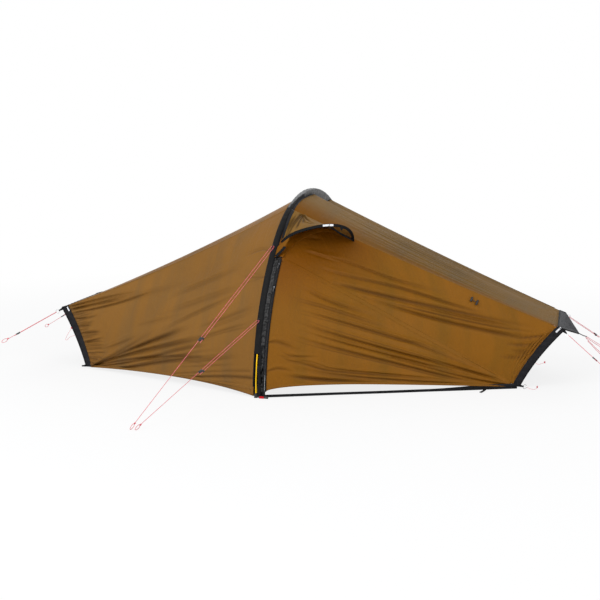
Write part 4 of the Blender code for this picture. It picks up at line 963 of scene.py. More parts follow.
NET = Netting("polyester_net")
GUY_CORD = BraidedCord("braided_guy_cord")
RED_KNOT = BraidedCord("braided_cord_red", fleck_share=0.15)
DARK_CORD = BraidedCord("braided_cord_black", "#18181A", "#2E2E31")
GOLD_TUBE = AnodisedTube("anodised_gold_tube")
WIRE_STEEL = PlatedSteel("plated_steel_wire")
DARK_STEEL = PlatedSteel("dark_zip_steel", "#3C3D40", "#66676B")
PLASTIC = MouldedPlastic("moulded_black_acetal")
THREAD = Webbing("sewing_thread_black", "#0F0F10", 0.5)
BROWN_THREAD = Webbing("sewing_thread_brown", "#5A4424", 0.5)
BEAD_TAPE = ReflectiveTape("reflective_tape")


# Mesh makers


def add_object(name: str, data: bpy.types.ID) -> Piece:
    """Adds an object that shows data to the scene and returns it."""
    made = bpy.data.objects.new(name, data)
    bpy.context.scene.collection.objects.link(made)
    return made


def lattice(name: str, rows: Sequence, finish: Finish, closed: bool = False, caps: bool = False,
            values: Optional[dict[str, np.ndarray]] = None) -> Piece:
    """Makes a smooth mesh through rows of points, with cloth coordinates in metres.

    Args:
        name: Name of the piece.
        rows: Points by row and column.
        finish: What it is made of.
        closed: Whether each row is a ring.
        caps: Whether the first and last ring are closed with a face.
        values: Point values by name, each with one number a point.

    Returns:
        The mesh object, with its faces turned outwards.
    """
    rows = np.array(rows)
    count, across = rows.shape[:2]
    wrapped = np.concatenate([rows, rows[:, :1]], 1) if closed else rows
    width = np.cumsum(np.linalg.norm(np.diff(wrapped, axis=1, prepend=wrapped[:, :1]), axis=2), 1)
    length = np.cumsum(np.linalg.norm(np.diff(wrapped, axis=0, prepend=wrapped[:1]), axis=2), 0)
    i, j = (a.ravel() for a in np.indices((count - 1, wrapped.shape[1] - 1)))
    corners = [(i, j), (i + 1, j), (i + 1, j + 1), (i, j + 1)]
    faces = np.stack([a * across + b % across for a, b in corners], 1)
    places = np.stack([np.stack([width[a, b], length[a, b]], 1) for a, b in corners], 1)
    points = rows.reshape(-1, 3)
    quads = points[faces]
    turned = np.cross(quads[:, 2] - quads[:, 0], quads[:, 3] - quads[:, 1])
    inside = rows.mean(1)[i] if closed else TENT_MIDDLE
    flip = float((turned * (quads.mean(1) - inside)).sum()) < 0
    if flip:
        faces, places = faces[:, ::-1], places[:, ::-1]
    polygons, spots = faces.tolist(), places.reshape(-1, 2).tolist()
    if caps:
        for row, turn in ((0, flip), (count - 1, not flip)):
            order = range(across)[::-1] if turn else range(across)
            polygons.append([row * across + k for k in order])
            spots += [(width[row, k], length[row, k]) for k in order]
    mesh = bpy.data.meshes.new(name)
    mesh.from_pydata(points.tolist(), [], polygons)
    mesh.polygons.foreach_set("use_smooth", np.ones(len(polygons), bool))
    mesh.uv_layers.new(name="cloth").data.foreach_set("uv", np.array(spots, np.float32).ravel())
    for key, value in (values or {}).items():
        layer = mesh.attributes.new(key, "FLOAT", "POINT")
        layer.data.foreach_set("value", np.asarray(value, np.float32).ravel())
    mesh.materials.append(finish.material())
    mesh.update()
    return add_object(name, mesh)


def thicken(piece: Piece, thickness: float, offset: float = 0.0) -> Piece:
    """Gives a sheet its thickness and returns it."""
    wall = piece.modifiers.new("thickness", "SOLIDIFY")
    wall.thickness, wall.offset = thickness, offset
    return piece


def place_piece(piece: Piece, slot: str = "black_webbing", body: str = "tent",
                nodes: Sequence[str] = ()) -> Piece:
    """Lets a piece ride on its body and hides the solids that it stands for.

    Args:
        piece: The finished piece.
        slot: The record's material slot that its finish belongs to; not used.
        body: The body that carries it.
        nodes: The solids that it replaces.

    Returns:
        The piece.
    """
    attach(piece, body)
    if nodes:
        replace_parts(piece, *nodes)
    LOG.info("%s rides on %s", piece.name, body)
    return piece


def leaf(name: str, rows: Sequence, finish: Finish, thickness: float, **placing) -> Piece:
    """Makes a small sheet through rows of points, places it and returns it."""
    return place_piece(thicken(lattice(name, rows, finish), thickness), **placing)


def normal_at(surface: Surface, u: float, v: float, step: float = 0.01) -> Vector:
    """Returns the direction away from a surface on the door's side of the tent."""
    point = surface(u, v)
    normal = (surface(u + step, v) - point).cross(surface(u, v + step) - point).normalized()
    return normal if normal.dot(OUT) > 0 else -normal


def outward_normals(points: np.ndarray) -> np.ndarray:
    """Returns the unit normals of a lattice that point away from the tent's middle."""
    normals = np.cross(np.gradient(points, axis=1), np.gradient(points, axis=0))
    normals /= np.maximum(np.linalg.norm(normals, axis=2, keepdims=True), 1e-12)
    return normals if float((normals * (points - TENT_MIDDLE)).sum()) >= 0 else -normals


def path_length(path: Sequence[Vector]) -> float:
    """Returns the length of a line through points."""
    return sum((b - a).length for a, b in zip(path, path[1:]))


def tangents(path: Sequence[Vector]) -> list[Vector]:
    """Returns the direction of a path at each of its points."""
    last = len(path) - 1
    return [(path[min(k + 1, last)] - path[max(k - 1, 0)]).normalized() for k in range(last + 1)]


def facings(facing: Sequence[Vector] | Vector, path: Sequence[Vector]) -> Sequence[Vector]:
    """Returns a direction for each point of a path, from such a list or from one direction."""
    return [facing] * len(path) if isinstance(facing, Vector) else facing


def sweep(path: Sequence[Vector], facing: Sequence[Vector], section: Sequence[tuple[float, float]],
          ) -> list[list[Vector]]:
    """Returns the rings of a section that is carried along a path.

    Args:
        path: Points of the middle line.
        facing: Direction of the section's second axis at each point.
        section: Points of the section, across the path and along its facing.

    Returns:
        The points of each ring.
    """
    rings = []
    for point, tangent, out in zip(path, tangents(path), facing):
        side = tangent.cross(out).normalized()
        rise = side.cross(tangent)
        rings.append([point + (side * x + rise * z) for x, z in section])
    return rings


def round_section(radius: float, sides: int) -> list[tuple[float, float]]:
    """Returns the points of a round section."""
    return [(radius * math.cos(t), radius * math.sin(t)) for t in steps(sides, 0, FULL_TURN)[:-1]]


def squared(x: float, power: float) -> float:
    """Returns a share from -1 to 1, pushed towards the ends by a power below 1."""
    return math.copysign(abs(x) ** power, x)


def carried_normals(path: Sequence[Vector]) -> list[Vector]:
    """Returns a direction square to a path that turns as little as it can along it."""
    current = UP if abs((path[1] - path[0]).normalized().z) < 0.9 else OUT
    result = []
    for tangent in tangents(path):
        square = current - tangent * current.dot(tangent)
        current = (tangent.orthogonal() if square.length < 1e-6 else square).normalized()
        result.append(current)
    return result


def tube(name: str, path: Sequence[Vector], radius: float, finish: Finish, sides: int = 10,
         **placing) -> Piece:
    """Makes a closed round tube along a path, places it and returns it."""
    rings = sweep(path, carried_normals(path), round_section(radius, sides))
    return place_piece(lattice(name, rings, finish, closed=True, caps=True), **placing)


def strap(name: str, path: Sequence[Vector], facing: Sequence[Vector] | Vector, width: float,
          finish: Finish, thickness: float = 1.4 * MM, **placing) -> Piece:
    """Makes a flat strap along a path, its face towards facing, places it and returns it."""
    section = [(squared(x, 0.45) * width / 2, squared(z, 0.45) * thickness / 2)
               for x, z in round_section(1.0, 16)]
    rings = sweep(path, facings(facing, path), section)
    return place_piece(lattice(name, rings, finish, closed=True, caps=True), **placing)


# Creases in cloth


class Taper(Enum):
    """How a crease ends."""

    FREE = "it fades out at both ends"
    FAN = "it starts sharp at the corner that pulls it and fades out at the other end"
    RUN = "it reaches both of its ends"


FREE, FAN, RUN = Taper.FREE, Taper.FAN, Taper.RUN


@dataclass(frozen=True)
class Crease:
    """A fold that tension puts in cloth: a valley with a soft ridge on one side and painted shade in its
    valley.
    """

    route: tuple[tuple[float, float] | Vector, ...]
    depth_mm: float = 4.0
    width_mm: float = 13.0
    dark: float = 0.6
    spread: float = 0.7
    taper: Taper = Taper.FREE

    def line(self, surface: Surface) -> np.ndarray:
        """Returns the crease's line on a surface."""
        stops = [stop if isinstance(stop, Vector) else surface(*stop) for stop in self.route]
        if len(stops) == 2:
            stops = [stops[0].lerp(stops[1], t) for t in steps(4)]
        return np.array(smooth_route(stops, 5))

    def strength(self, run: np.ndarray) -> np.ndarray:
        """Returns how deep the crease is along its run from 0 to 1."""
        if self.taper is RUN:
            return np.ones_like(run)
        end = np.clip((1 - run) / 0.4, 0, 1)
        if self.taper is FREE:
            end = np.minimum(end, np.clip(run / 0.4, 0, 1))
        return end * end * (3 - 2 * end)

    def relief(self, points: np.ndarray, normals: np.ndarray, surface: Surface,
               ) -> tuple[np.ndarray, np.ndarray]:
        """Returns the crease's height, in metres, and its darkness, painted shade in its valley, at each
        point.

        Args:
            points: The points to be moved.
            normals: Outward direction at each of them.
            surface: The surface on which the route's shares lie.

        Returns:
            The heights and the darkness.
        """
        line = self.line(surface)
        reach = 5 * self.width_mm * MM * (1 + self.spread)
        near = ((points > line.min(0) - reach) & (points < line.max(0) + reach)).all(1)
        height, dark = np.zeros((2, len(points)))
        if near.any():
            height[near], dark[near] = self.relief_near(points[near], normals[near], line)
        return height, dark

    def relief_near(self, points: np.ndarray, normals: np.ndarray, line: np.ndarray,
                    ) -> tuple[np.ndarray, np.ndarray]:
        """Returns height and darkness at points close to the crease's line."""
        step = np.diff(line, axis=0)
        apart = points[:, None] - line[None, :-1]
        part = np.clip((apart * step).sum(2) / (step * step).sum(1), 0, 1)
        off = apart - part[..., None] * step
        far = np.linalg.norm(off, axis=2)
        nearest, each = far.argmin(1), np.arange(len(points))
        side = np.sign((np.cross(step[nearest], off[each, nearest]) * normals).sum(1))
        run = (nearest + part[each, nearest]) / len(step)
        x = far[each, nearest] / (self.width_mm * MM * (1 + self.spread * run))
        ends = self.strength(run)
        height = 0.75 * np.exp(-((side * x - 1.6) / 1.2) ** 2) - np.exp(-x * x)
        return self.depth_mm * MM * ends * height, self.dark * ends * np.exp(-(x * 1.25) ** 2)


def folds(*table: tuple) -> list[Crease]:
    """Returns the creases of a table.

    Args:
        *table: For each crease its depth and width in millimetres, its darkness, spread and taper,
            and then the two shares of each of its stops.
    """
    return [Crease(tuple(zip(row[5::2], row[6::2])), *row[:5]) for row in table]


def with_strands(creases: Sequence[Crease], seed: int, count: int = 3, apart: float = 0.03,
                 ) -> list[Crease]:
    """Returns the creases, each drawn narrower and with fine strands beside it.

    Args:
        creases: The main folds.
        seed: Start of the random draws.
        count: Strands that go with each fold.
        apart: How far, as a share of the panel's height, the strands may lie from it.
    """
    draw = random.Random(seed).uniform
    made = []
    for crease in creases:
        made.append(replace(crease, width_mm=crease.width_mm * 0.62, depth_mm=crease.depth_mm * 0.9))
        for _ in range(count):
            shift, slide, growth = draw(-apart, apart), draw(-0.03, 0.03), draw(-0.6, 0.6) * apart
            route = []
            for part, (u, v) in zip(steps(len(crease.route) - 1), crease.route):
                loose = part if crease.taper is FAN else 1.0
                route.append((clamp(u + slide * loose), clamp(v + shift * loose + growth * part)))
            made.append(Crease(tuple(route), crease.depth_mm * draw(0.25, 0.5), draw(2.6, 5.0),
                               crease.dark * draw(0.35, 0.9), crease.spread, crease.taper))
    return made


def comb(seed: int, side: float, low: float, high: float, count: int, reach: float, slant: float,
         ) -> list[Crease]:
    """Returns short fine folds that leave a bound edge side by side.

    Args:
        seed: Start of the random draws.
        side: The edge's place across the panel, 0 or 1.
        low: Lowest height of the folds.
        high: Greatest height of the folds.
        count: Number of folds.
        reach: Usual length of a fold, as a share of the panel.
        slant: How far a fold drops over its length.
    """
    draw = random.Random(seed).uniform
    made = []
    for k in range(count):
        v = clamp(lerp(low, high, (k + draw(-0.3, 0.3)) / (count - 1)), low, high)
        length = reach * draw(0.45, 1.25)
        far = side - length if side > 0.5 else side + length
        drop = slant * draw(0.6, 1.4)
        made.append(Crease(((side, v), ((side + far) / 2, v - drop * 0.45), (far, v - drop)),
                           draw(1.0, 2.2), draw(3.0, 5.5), draw(0.3, 0.75), 0.5, FAN))
    return made


@dataclass
class ClothPanel:
    """A panel of taut cloth with its creases, whose flat size is logged."""

    name: str
    surface: Surface
    columns: Sequence[float]
    rows: Sequence[float]
    finish: Finish
    slot: str = "ripstop_nylon"
    nodes: Sequence[str] = ()
    creases: Sequence[Crease] = ()
    swell: Optional[Share] = None
    shade: Optional[Share] = None
    tone: Optional[Share] = None
    thickness: float = 0.7 * MM
    body: str = "tent"
    rests_on: str = "pole"
    edge_fade: float = 0.02
    least_side: float = 0.0101
    least_fill: float = 0.31

    def build(self) -> None:
        base = np.array([[self.surface(u, v) for u in self.columns] for v in self.rows])
        points, normals = base.reshape(-1, 3), outward_normals(base).reshape(-1, 3)
        height, fold = np.zeros((2, len(points)))
        for crease in self.creases:
            rise, dark = crease.relief(points, normals, self.surface)
            height += rise
            # The darkness becomes the attribute fold: painted shade in the valleys of the creases
            fold = np.maximum(fold, np.minimum(1.3 * dark, 1))
        u, v = (a.ravel() for a in np.meshgrid(self.columns, self.rows))
        for a in (u, v):
            height *= np.clip(np.minimum(a - a.min(), a.max() - a) / self.edge_fade, 0, 1)
        if self.swell:
            height += np.array([self.swell(a, b) for a, b in zip(u, v)])
        values = {"fold": fold}
        for key, rule in (("shade", self.shade), ("tone", self.tone)):
            if rule:
                values[key] = np.array([rule(a, b) for a, b in zip(u, v)])
        moved = (points + normals * height[:, None]).reshape(base.shape)
        piece = thicken(lattice(self.name, moved, self.finish, values=values), self.thickness)
        self.declare(place_piece(piece, self.slot, self.body, self.nodes), base)

    def declare(self, piece: Piece, base: np.ndarray) -> None:
        wide, long = (max(float(np.linalg.norm(np.diff(base, axis=k), axis=2).sum(k).max()),
                          self.least_side) for k in (1, 0))
        a, b, c, d = base[:-1, :-1], base[1:, :-1], base[1:, 1:], base[:-1, 1:]
        area = float(np.linalg.norm(np.cross(c - a, d - b), axis=2).sum() / 2)
        if area < self.least_fill * wide * long:
            long = area / 0.5 / wide
        area = min(area, wide * long)
        LOG.info("%s is cut from %.3f x %.3f m, %.3f square metres", piece.name, wide, long, area)


# What repeats along a line


@dataclass(frozen=True)
class LineRun:
    """A line that lies a little over a path, and the outward direction at its points."""

    path: Sequence[Vector]
    facing: Sequence[Vector] | Vector
    lift: float = 0.0


class Tread(Enum):
    """What a run repeats, by the axis that follows its line."""

    STITCH = "Z"
    TOOTH = "Y"


@dataclass(frozen=True)
class RepeatedRow:
    """Stitches or zip teeth set out along lines by Geometry Nodes."""

    name: str
    finish: Finish
    slot: str = "black_webbing"
    body: str = "tent"
    tread: Tread = Tread.STITCH
    pitch: float = 5 * MM
    length: float = 3.4 * MM
    radius: float = 0.35 * MM

    def guide(self, runs: Sequence[LineRun]) -> Piece:
        """Returns a mesh of the lines as edges that carry their facing."""
        points, edges, facing = [], [], []
        for run in runs:
            outs = facings(run.facing, run.path)
            edges += [(k, k + 1) for k in range(len(points), len(points) + len(outs) - 1)]
            points += [p + out * run.lift for p, out in zip(run.path, outs)]
            facing += outs
        mesh = bpy.data.meshes.new(self.name)
        mesh.from_pydata(points, edges, [])
        layer = mesh.attributes.new("facing", "FLOAT_VECTOR", "POINT")
        layer.data.foreach_set("vector", np.array(facing, np.float32).ravel())
        return add_object(self.name, mesh)

    def tree(self) -> bpy.types.NodeTree:
        """Builds the node tree that sets the repeats out."""
        tree = bpy.data.node_groups.new(self.name, "GeometryNodeTree")
        for name, kind in (("Lines", "Geometry"), ("Pitch", "Float"), ("Length", "Float"),
                           ("Radius", "Float"), ("Finish", "Material"), ("Repeats", "Geometry")):
            tree.interface.new_socket(name, in_out="OUTPUT" if name == "Repeats" else "INPUT",
                                      socket_type="NodeSocket" + kind)
        node = partial(add_node, tree)
        given = node("NodeGroupInput").node.outputs
        even = node("GeometryNodeResampleCurve", {"Curve": node("GeometryNodeMeshToCurve", {0: given[0]})})
        even.node.mode = "LENGTH"
        tree.links.new(given["Pitch"], even.node.inputs["Length"])
        spots = node("GeometryNodeCurveToPoints", {0: even}, mode="EVALUATED")
        facing = node("GeometryNodeInputNamedAttribute", {"Name": "facing"}, data_type="FLOAT_VECTOR")
        rod = node("GeometryNodeMeshCylinder", {"Vertices": 6, "Radius": given["Radius"],
                                                "Depth": given["Length"]})
        turn = node("FunctionNodeAxesToRotation", {0: facing, 1: spots.node.outputs["Tangent"]},
                    primary_axis="X", secondary_axis=self.tread.value)
        laid = node("GeometryNodeInstanceOnPoints", {"Points": spots, "Instance": rod, "Rotation": turn})
        real = node("GeometryNodeRealizeInstances", {0: laid})
        dressed = node("GeometryNodeSetMaterial", {"Geometry": real, "Material": given["Finish"]})
        node("NodeGroupOutput", {0: dressed})
        return tree

    def build(self, runs: Sequence[LineRun]) -> Piece:
        """Sets the repeats out along the runs, turns them to a plain mesh and returns it."""
        guide, tree = self.guide(runs), self.tree()
        nodes = guide.modifiers.new("repeats", "NODES")
        nodes.node_group = tree
        sizes = {"Pitch": self.pitch, "Length": self.length, "Radius": self.radius,
                 "Finish": self.finish.material()}
        for item in tree.interface.items_tree:
            if item.name in sizes:
                nodes[item.identifier] = sizes[item.name]
        seen = guide.evaluated_get(bpy.context.evaluated_depsgraph_get())
        mesh = bpy.data.meshes.new_from_object(seen)
        guide.modifiers.clear()
        guide.data = mesh
        mesh.name = self.name
        return place_piece(guide, self.slot, self.body)


# The tent's sub-assemblies


@dataclass
class Skin:
    """The fly: three plain sides, the fixed cloth over the door, the door and two roofs."""

    seam_tape: float = 0.006
    hem_tape: float = 0.012
    inward_sag: float = 0.016
    corner_drop: float = 0.025
    foot_columns: int = 150
    foot_rows: int = 190
    lee_reach: float = 0.30
    fold_reach: float = 0.14
    fold_lift: float = 0.003

    def roof_shade(self, u: float, v: float) -> float:
        """Returns how much painted shade, the deep orange of the hood's lee, the roof gets near the seam and
        the hood.
        """
        return max(0.75 * smooth_step(1 - u / 0.6) * smooth_step(1 - v / 0.36),
                   0.55 * smooth_step(1 - v / 0.13))

    def side_swell(self, u: float, v: float) -> float:
        """Returns the inward curve of a side."""
        return -self.inward_sag * hump(u) * hump(v)

    def foot_creases(self) -> list[Crease]:
        """Returns the folds of the front side at the foot end."""
        main = folds(
            (4, 22, .35, .7, FAN, 1, .975, .838, .908, .625, .775),
            (4, 26, .3, .7, FREE, .906, .85, .394, .675), (4, 9, .7, .7, FAN, 1, .775, .925, .708),
            (4, 9, .7, .7, FAN, 1, .65, .925, .6), (4, 10, .7, .7, FAN, 1, .533, .887, .475),
            (4, 10, .6, .7, FAN, 1, .383, .887, .358),
            (7, 13, .85, 1.6, FAN, .988, .017, .619, .267, .356, .35),
            (6, 12, .75, 1.6, FAN, .988, .017, .756, .158, .438, .233, .194, .25),
            (5, 9, .7, 1.4, FAN, .975, .008, .725, .092, .394, .2, .263, .217),
            (6, 12, .8, 1.2, FAN, .969, 0, .769, .025, .531, .1, .35, .133, .131, .15),
            (5, 10, .6, .7, FREE, .838, .158, .388, .317), (3, 12, .2, .7, FREE, .744, .442, .4, .442),
            (4, 9, .55, .7, FREE, .475, .083, .069, .15), (3, 8, .5, .7, FREE, .344, 0, .056, .025),
            (5, 9, .75, .7, RUN, .444, 0, .169, .05, 0, .067),
            (4, 11, .5, .7, FREE, .919, .225, .662, .342), (4, 24, .3, .7, FREE, .556, .608, .1, .617),
            (4, 22, .3, .7, FREE, .606, .475, .05, .5), (4, 16, .45, .7, FREE, .369, .308, 0, .375),
            (3, 8, .4, .7, FAN, 0, .62, .05, .66, .16, .68),
            (3, 8, .35, .7, FAN, 0, .5, .06, .52, .14, .56), (4, 9, .6, .7, FAN, 1, .93, .86, .86, .7, .78),
            (4, 10, .6, .7, FAN, 1, .86, .8, .77, .55, .72),
            (4, 8, .6, 1.4, FAN, .99, .02, .8, .2, .55, .38),
            (5, 9, .8, 1.4, FAN, .99, .02, .7, .12, .42, .14, .2, .12),
            (3, 9, .5, .7, FREE, .62, .3, .35, .42, .1, .47),
            (3, 8, .5, .7, FREE, .5, .2, .2, .28, .02, .3))
        return with_strands(main, 17) + comb(17, 1, 0.08, 0.97, 30, 0.11, 0.03)

    def door_creases(self) -> list[Crease]:
        """Returns the folds of the door, which run to the pegged corner."""
        main = folds(
            (6, 12, .8, .2, FREE, .087, .658, .231, .683, .537, .758, .613, .792, .95, .9),
            (6, 13, .7, .2, FREE, .094, .575, .237, .55, .531, .55, .688, .567, .944, .283),
            (6, 12, .8, .2, FREE, .075, .442, .244, .408, .531, .358, .744, .258, .906, .117),
            (3, 7, .5, .7, FREE, .05, .3, .106, .267, .2, .292),
            (5, 11, .7, .2, FREE, .037, .225, .15, .208, .256, .158, .537, .15, .825, .092),
            (5, 14, .9, .7, FREE, .056, .108, .156, .075, .256, .05, .537, 0),
            (5, 12, .6, .7, FREE, .625, .583, .825, .608, .981, 1),
            (4, 10, .55, .7, FREE, .062, .717, .225, .767, .519, .858),
            (3, 7, .5, .7, FAN, 0, .36, .04, .37, .12, .34),
            (3, 7, .5, .7, FAN, 0, .15, .05, .16, .11, .14),
            (4, 10, .5, .2, RUN, .5, .45, .8, .34, .97, .2),
            (4, 9, .5, .7, FREE, .08, .86, .22, .84, .42, .93),
            (4, 9, .5, .2, FREE, .1, .5, .3, .48, .6, .46, .96, .5),
            (4, 9, .7, .2, FREE, .08, .19, .3, .12, .6, .08, .95, .05))
        return with_strands(main, 23, 3, 0.035)

    def fixed_creases(self) -> list[Crease]:
        """Returns the folds of the fixed cloth over the door."""
        main = folds(
            (7, 16, .95, .3, FREE, .206, .025, .275, .125, .45, .35, .681, .658, .875, .9),
            (5, 14, .65, .3, FREE, .138, .2, .219, .25, .425, .525, .631, .683, .7, .767),
            (4, 13, .45, .7, FREE, .144, .5, .231, .533, .406, .633, .6, .85),
            (5, 13, .55, .7, FREE, .456, .3, .656, .55, .831, .783),
            (6, 14, .75, .7, FREE, .287, .05, .544, .267, .787, .558, .881, .767),
            (5, 9, .8, .7, FAN, .887, .858, .831, .567), (5, 9, .8, .7, FAN, .912, .933, .844, .45),
            (4, 8, .7, .7, FAN, .925, .892, .887, .425), (4, 8, .7, .7, FAN, .938, .867, .869, .242),
            (4, 12, .5, .7, FREE, .094, 1, .138, .8), (4, 12, .5, .7, FREE, .075, .617, .206, .475),
            (4, 9, .8, .2, FREE, .35, .12, .55, .36, .75, .62, .88, .84))
        draw = random.Random(29).uniform
        level, normal = Vector((-1, 0, 0)), DOORWAY.panel_normal
        level = (level - normal * level.dot(normal)).normalized()
        short = []
        for share in steps(25, .885, .985):
            start = DOORWAY.upper_edge(share)
            end = start + (level + UP * draw(-.05, .10)).normalized() * draw(.05, .15)
            short.append(Crease((start, start.lerp(end, .5), end), draw(1, 2.2), draw(2.6, 4.5),
                                draw(.35, .8), .5, FAN))
        return with_strands(main, 31, 2, 0.03) + short

    def roof_creases(self, seed: int) -> list[Crease]:
        """Returns the fine streaks that run along the ridge from hoop to visor."""
        draw = random.Random(seed).uniform
        made = []
        for over in steps(15, 0.04, 0.96):
            start, end = draw(0.0, 0.25), draw(0.7, 1.0)
            route = ((start, over), ((start + end) / 2, over + draw(-.015, .015)),
                     (end, over + draw(-.01, .01)))
            made.append(Crease(route, draw(1.5, 3.5), draw(8, 16), draw(.25, .6), 0.2))
        return made

    def plain_creases(self, seed: int) -> list[Crease]:
        """Returns the folds of a back side: a fan from its peg and slacker ones from its guy line."""
        draw = random.Random(seed).uniform
        made = []
        for rise in steps(6, 0.05, 0.71):
            route = ((.985, .015), (.75, rise * .55 + .01), (draw(.25, .6), rise))
            made.append(Crease(route, draw(4, 7), draw(9, 13), draw(.5, .8), 1.3, FAN))
        for high in steps(4, .95, .47):
            made += folds((4, 9, .6, .7, FAN, 1, high, .9, high - .05),
                          (4, 22, .35, .7, FREE, .75, high - .05, .2, high - .16))
        return made

    def plain_side(self, end: TentEnd, face: int) -> Surface:
        """Returns a side's surface, whose corner beside the pole is drawn down to the ground."""
        return lambda u, v: (end.side_panel(u, v, face)
                             - UP * self.corner_drop * (1 - u) ** 5 * (1 - v) ** 10)

    @cached_property
    def bends(self) -> list[tuple[float, float]]:
        """Half the signed angle and the rounding's reach at places along the fold."""
        table = []
        for share in steps(60, 0.0, 0.99):
            lower = normal_at(DOORWAY.door, share, 0.97)
            upper = normal_at(DOORWAY.fixed_side, share, 0.02)
            half = (upper - lower).dot(-DOORWAY.fold_down) / 2
            fade = min(1.0, (share + 0.01) / 0.05, (1 - share) / 0.1)
            table.append((half * fade, min(self.fold_reach, 2 * self.fold_lift / max(abs(half), 0.001))))
        return table

    def rounding(self, share: float, away: float) -> float:
        """Returns the push that rounds the fold, at a share of its length and a distance from it."""
        half, reach = self.bends[round(clamp(share) * (len(self.bends) - 1))]
        return -half * max(reach - away, 0) ** 2 / (2 * reach)

    def fold_rounding(self, surface: Surface) -> Share:
        """Returns the small push that makes door and fixed cloth meet without a crease."""
        top, axis = DOORWAY.fold_top, DOORWAY.fold_foot - DOORWAY.fold_top

        def push(u: float, v: float) -> float:
            apart = surface(u, v) - top
            return self.rounding(apart.dot(axis) / axis.length_squared,
                                 apart.cross(axis).length / axis.length)
        return push

    def lee(self, point: Vector) -> float:
        """Returns how far a point lies in the lee of the hood, from 0 to 1; it sets the painted shade under
        the hood.
        """
        low, high = DOORWAY.leg_corner, DOORWAY.hinge_point
        part = clamp((point - low).dot(high - low) / (high - low).length_squared)
        away = (point - low.lerp(high, part)).length
        return clamp(1.25 * (1 - away / self.lee_reach))

    def build(self) -> None:
        """Builds the panels, their hems and the tapes over their seams."""
        ClothPanel("fly_side_foot_front", self.plain_side(FOOT, -1), steps(self.foot_columns),
                   steps(self.foot_rows), SIDE_CLOTH, nodes=["foot_front_panel"],
                   creases=self.foot_creases(), swell=self.side_swell).build()
        for end, seed in ((FOOT, 3), (HEAD, 4)):
            ClothPanel(f"fly_side_{end.name}_back", self.plain_side(end, 1), steps(100),
                       steps(110), SIDE_CLOTH, nodes=[f"{end.name}_back_panel"],
                       creases=with_strands(self.plain_creases(seed), seed, 2), swell=self.side_swell).build()
            # The head roof gets painted hood shade near its seam, through roof_shade
            ClothPanel(f"fly_roof_{end.name}", end.roof, steps(100), steps(110, 0.004, 0.996),
                       ROOF_CLOTH if end is HEAD else SIDE_CLOTH, nodes=[f"{end.name}_roof_panel"],
                       creases=self.roof_creases(seed + 8),
                       shade=self.roof_shade if end is HEAD else None).build()
        columns = steps(26, 0.008, DOORWAY.arch_share) + steps(84, 0.202, 0.878) + steps(14, 0.882, 1)
        for name, surface, wide, high, node, creases, more in (
                ("fly_side_head_front", DOORWAY.fixed_side, columns, 150, "head_front_panel",
                 self.fixed_creases(), {}),
                ("door", DOORWAY.door, steps(140, 0, 0.985), 170, "door_panel", self.door_creases(),
                 {"body": "door", "edge_fade": 0.012, "rests_on": "ground_strap"})):
            # Painted shade: door and fixed cloth are painted in the hood's deep orange shade by how near they
            # lie to it
            ClothPanel(name, surface, wide, steps(high), DOOR_CLOTH, nodes=[node], creases=creases,
                       swell=self.fold_rounding(surface),
                       shade=lambda u, v, at=surface: self.lee(at(u, v)), **more).build()
        self.build_fold()
        self.build_tapes()

    def build_fold(self) -> None:
        """Builds the strip of cloth in which the door folds."""
        rows = []
        for t in steps(80, 0.004, 0.996):
            share, fold = 1 - t, DOORWAY.fold_foot.lerp(DOORWAY.fold_top, t)
            sides = []
            for surface, edge, inner in ((DOORWAY.door, 1.0, 0.97), (DOORWAY.fixed_side, 0.0, 0.03)):
                down = (surface(share, inner) - surface(share, edge)).normalized()
                out = normal_at(surface, share, inner)
                sides.append([fold + down * away + out * (0.0008 + self.rounding(share, away))
                              for away in (0.012, 0.008, 0.004, 0.001)])
            rows.append(sides[0] + sides[1][::-1])
        # The strip gets the same painted hood shade
        lee = [self.lee(p) for row in rows for p in row]
        piece = thicken(lattice("door_fold", rows, DOOR_CLOTH, values={"shade": lee}), 0.5 * MM)
        middle, half = DOORWAY.fold_foot.lerp(DOORWAY.fold_top, 0.5), DOORWAY.fold_down * 0.003
        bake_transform(piece)
        LOG.info("door_fold bends between tent and door")

    def tape(self, name: str, path: Sequence[Vector], out: Vector, width: float,
             finish: Finish = SIDE_CLOTH, body: str = "tent") -> LineRun:
        """Builds a tape over a seam and returns the run for its stitches."""
        strap(name, path, out, width, finish, 0.8 * MM, slot="ripstop_nylon", body=body)
        return LineRun(path, out, 0.5 * MM)

    def build_tapes(self) -> None:
        """Builds the tapes over the shoulder seams and along the hems, and their stitches."""
        runs = []
        lift = 0.7 * MM
        for end in (FOOT, HEAD):
            for face, label in ((-1, "front"), (1, "back")):
                out = Vector((0, face * 0.66, 0.75)).normalized()
                path = [end.crease(t, face) + UP * lift for t in steps(60, 0.004, 0.955)]
                runs.append(self.tape(f"shoulder_seam_{end.name}_{label}", path, out, self.seam_tape))
                if (end, face) != (HEAD, -1):
                    out = Vector((0, face, 0.25)).normalized()
                    path = [end.side_panel(t, 0.012, face) + out * lift for t in steps(90)]
                    runs.append(self.tape(f"hem_{end.name}_{label}", path, out, self.hem_tape))
        RepeatedRow("fly_stitches", BROWN_THREAD, "ripstop_nylon").build(runs)
        out = DOORWAY.door_normal
        path = [DOORWAY.door(t, 0.016) + out * lift for t in steps(90, 0, 0.975)]
        hem = self.tape("door_hem", path, out, self.hem_tape, DOOR_CLOTH, "door")
        RepeatedRow("door_stitches", BROWN_THREAD, "ripstop_nylon", "door").build([hem])


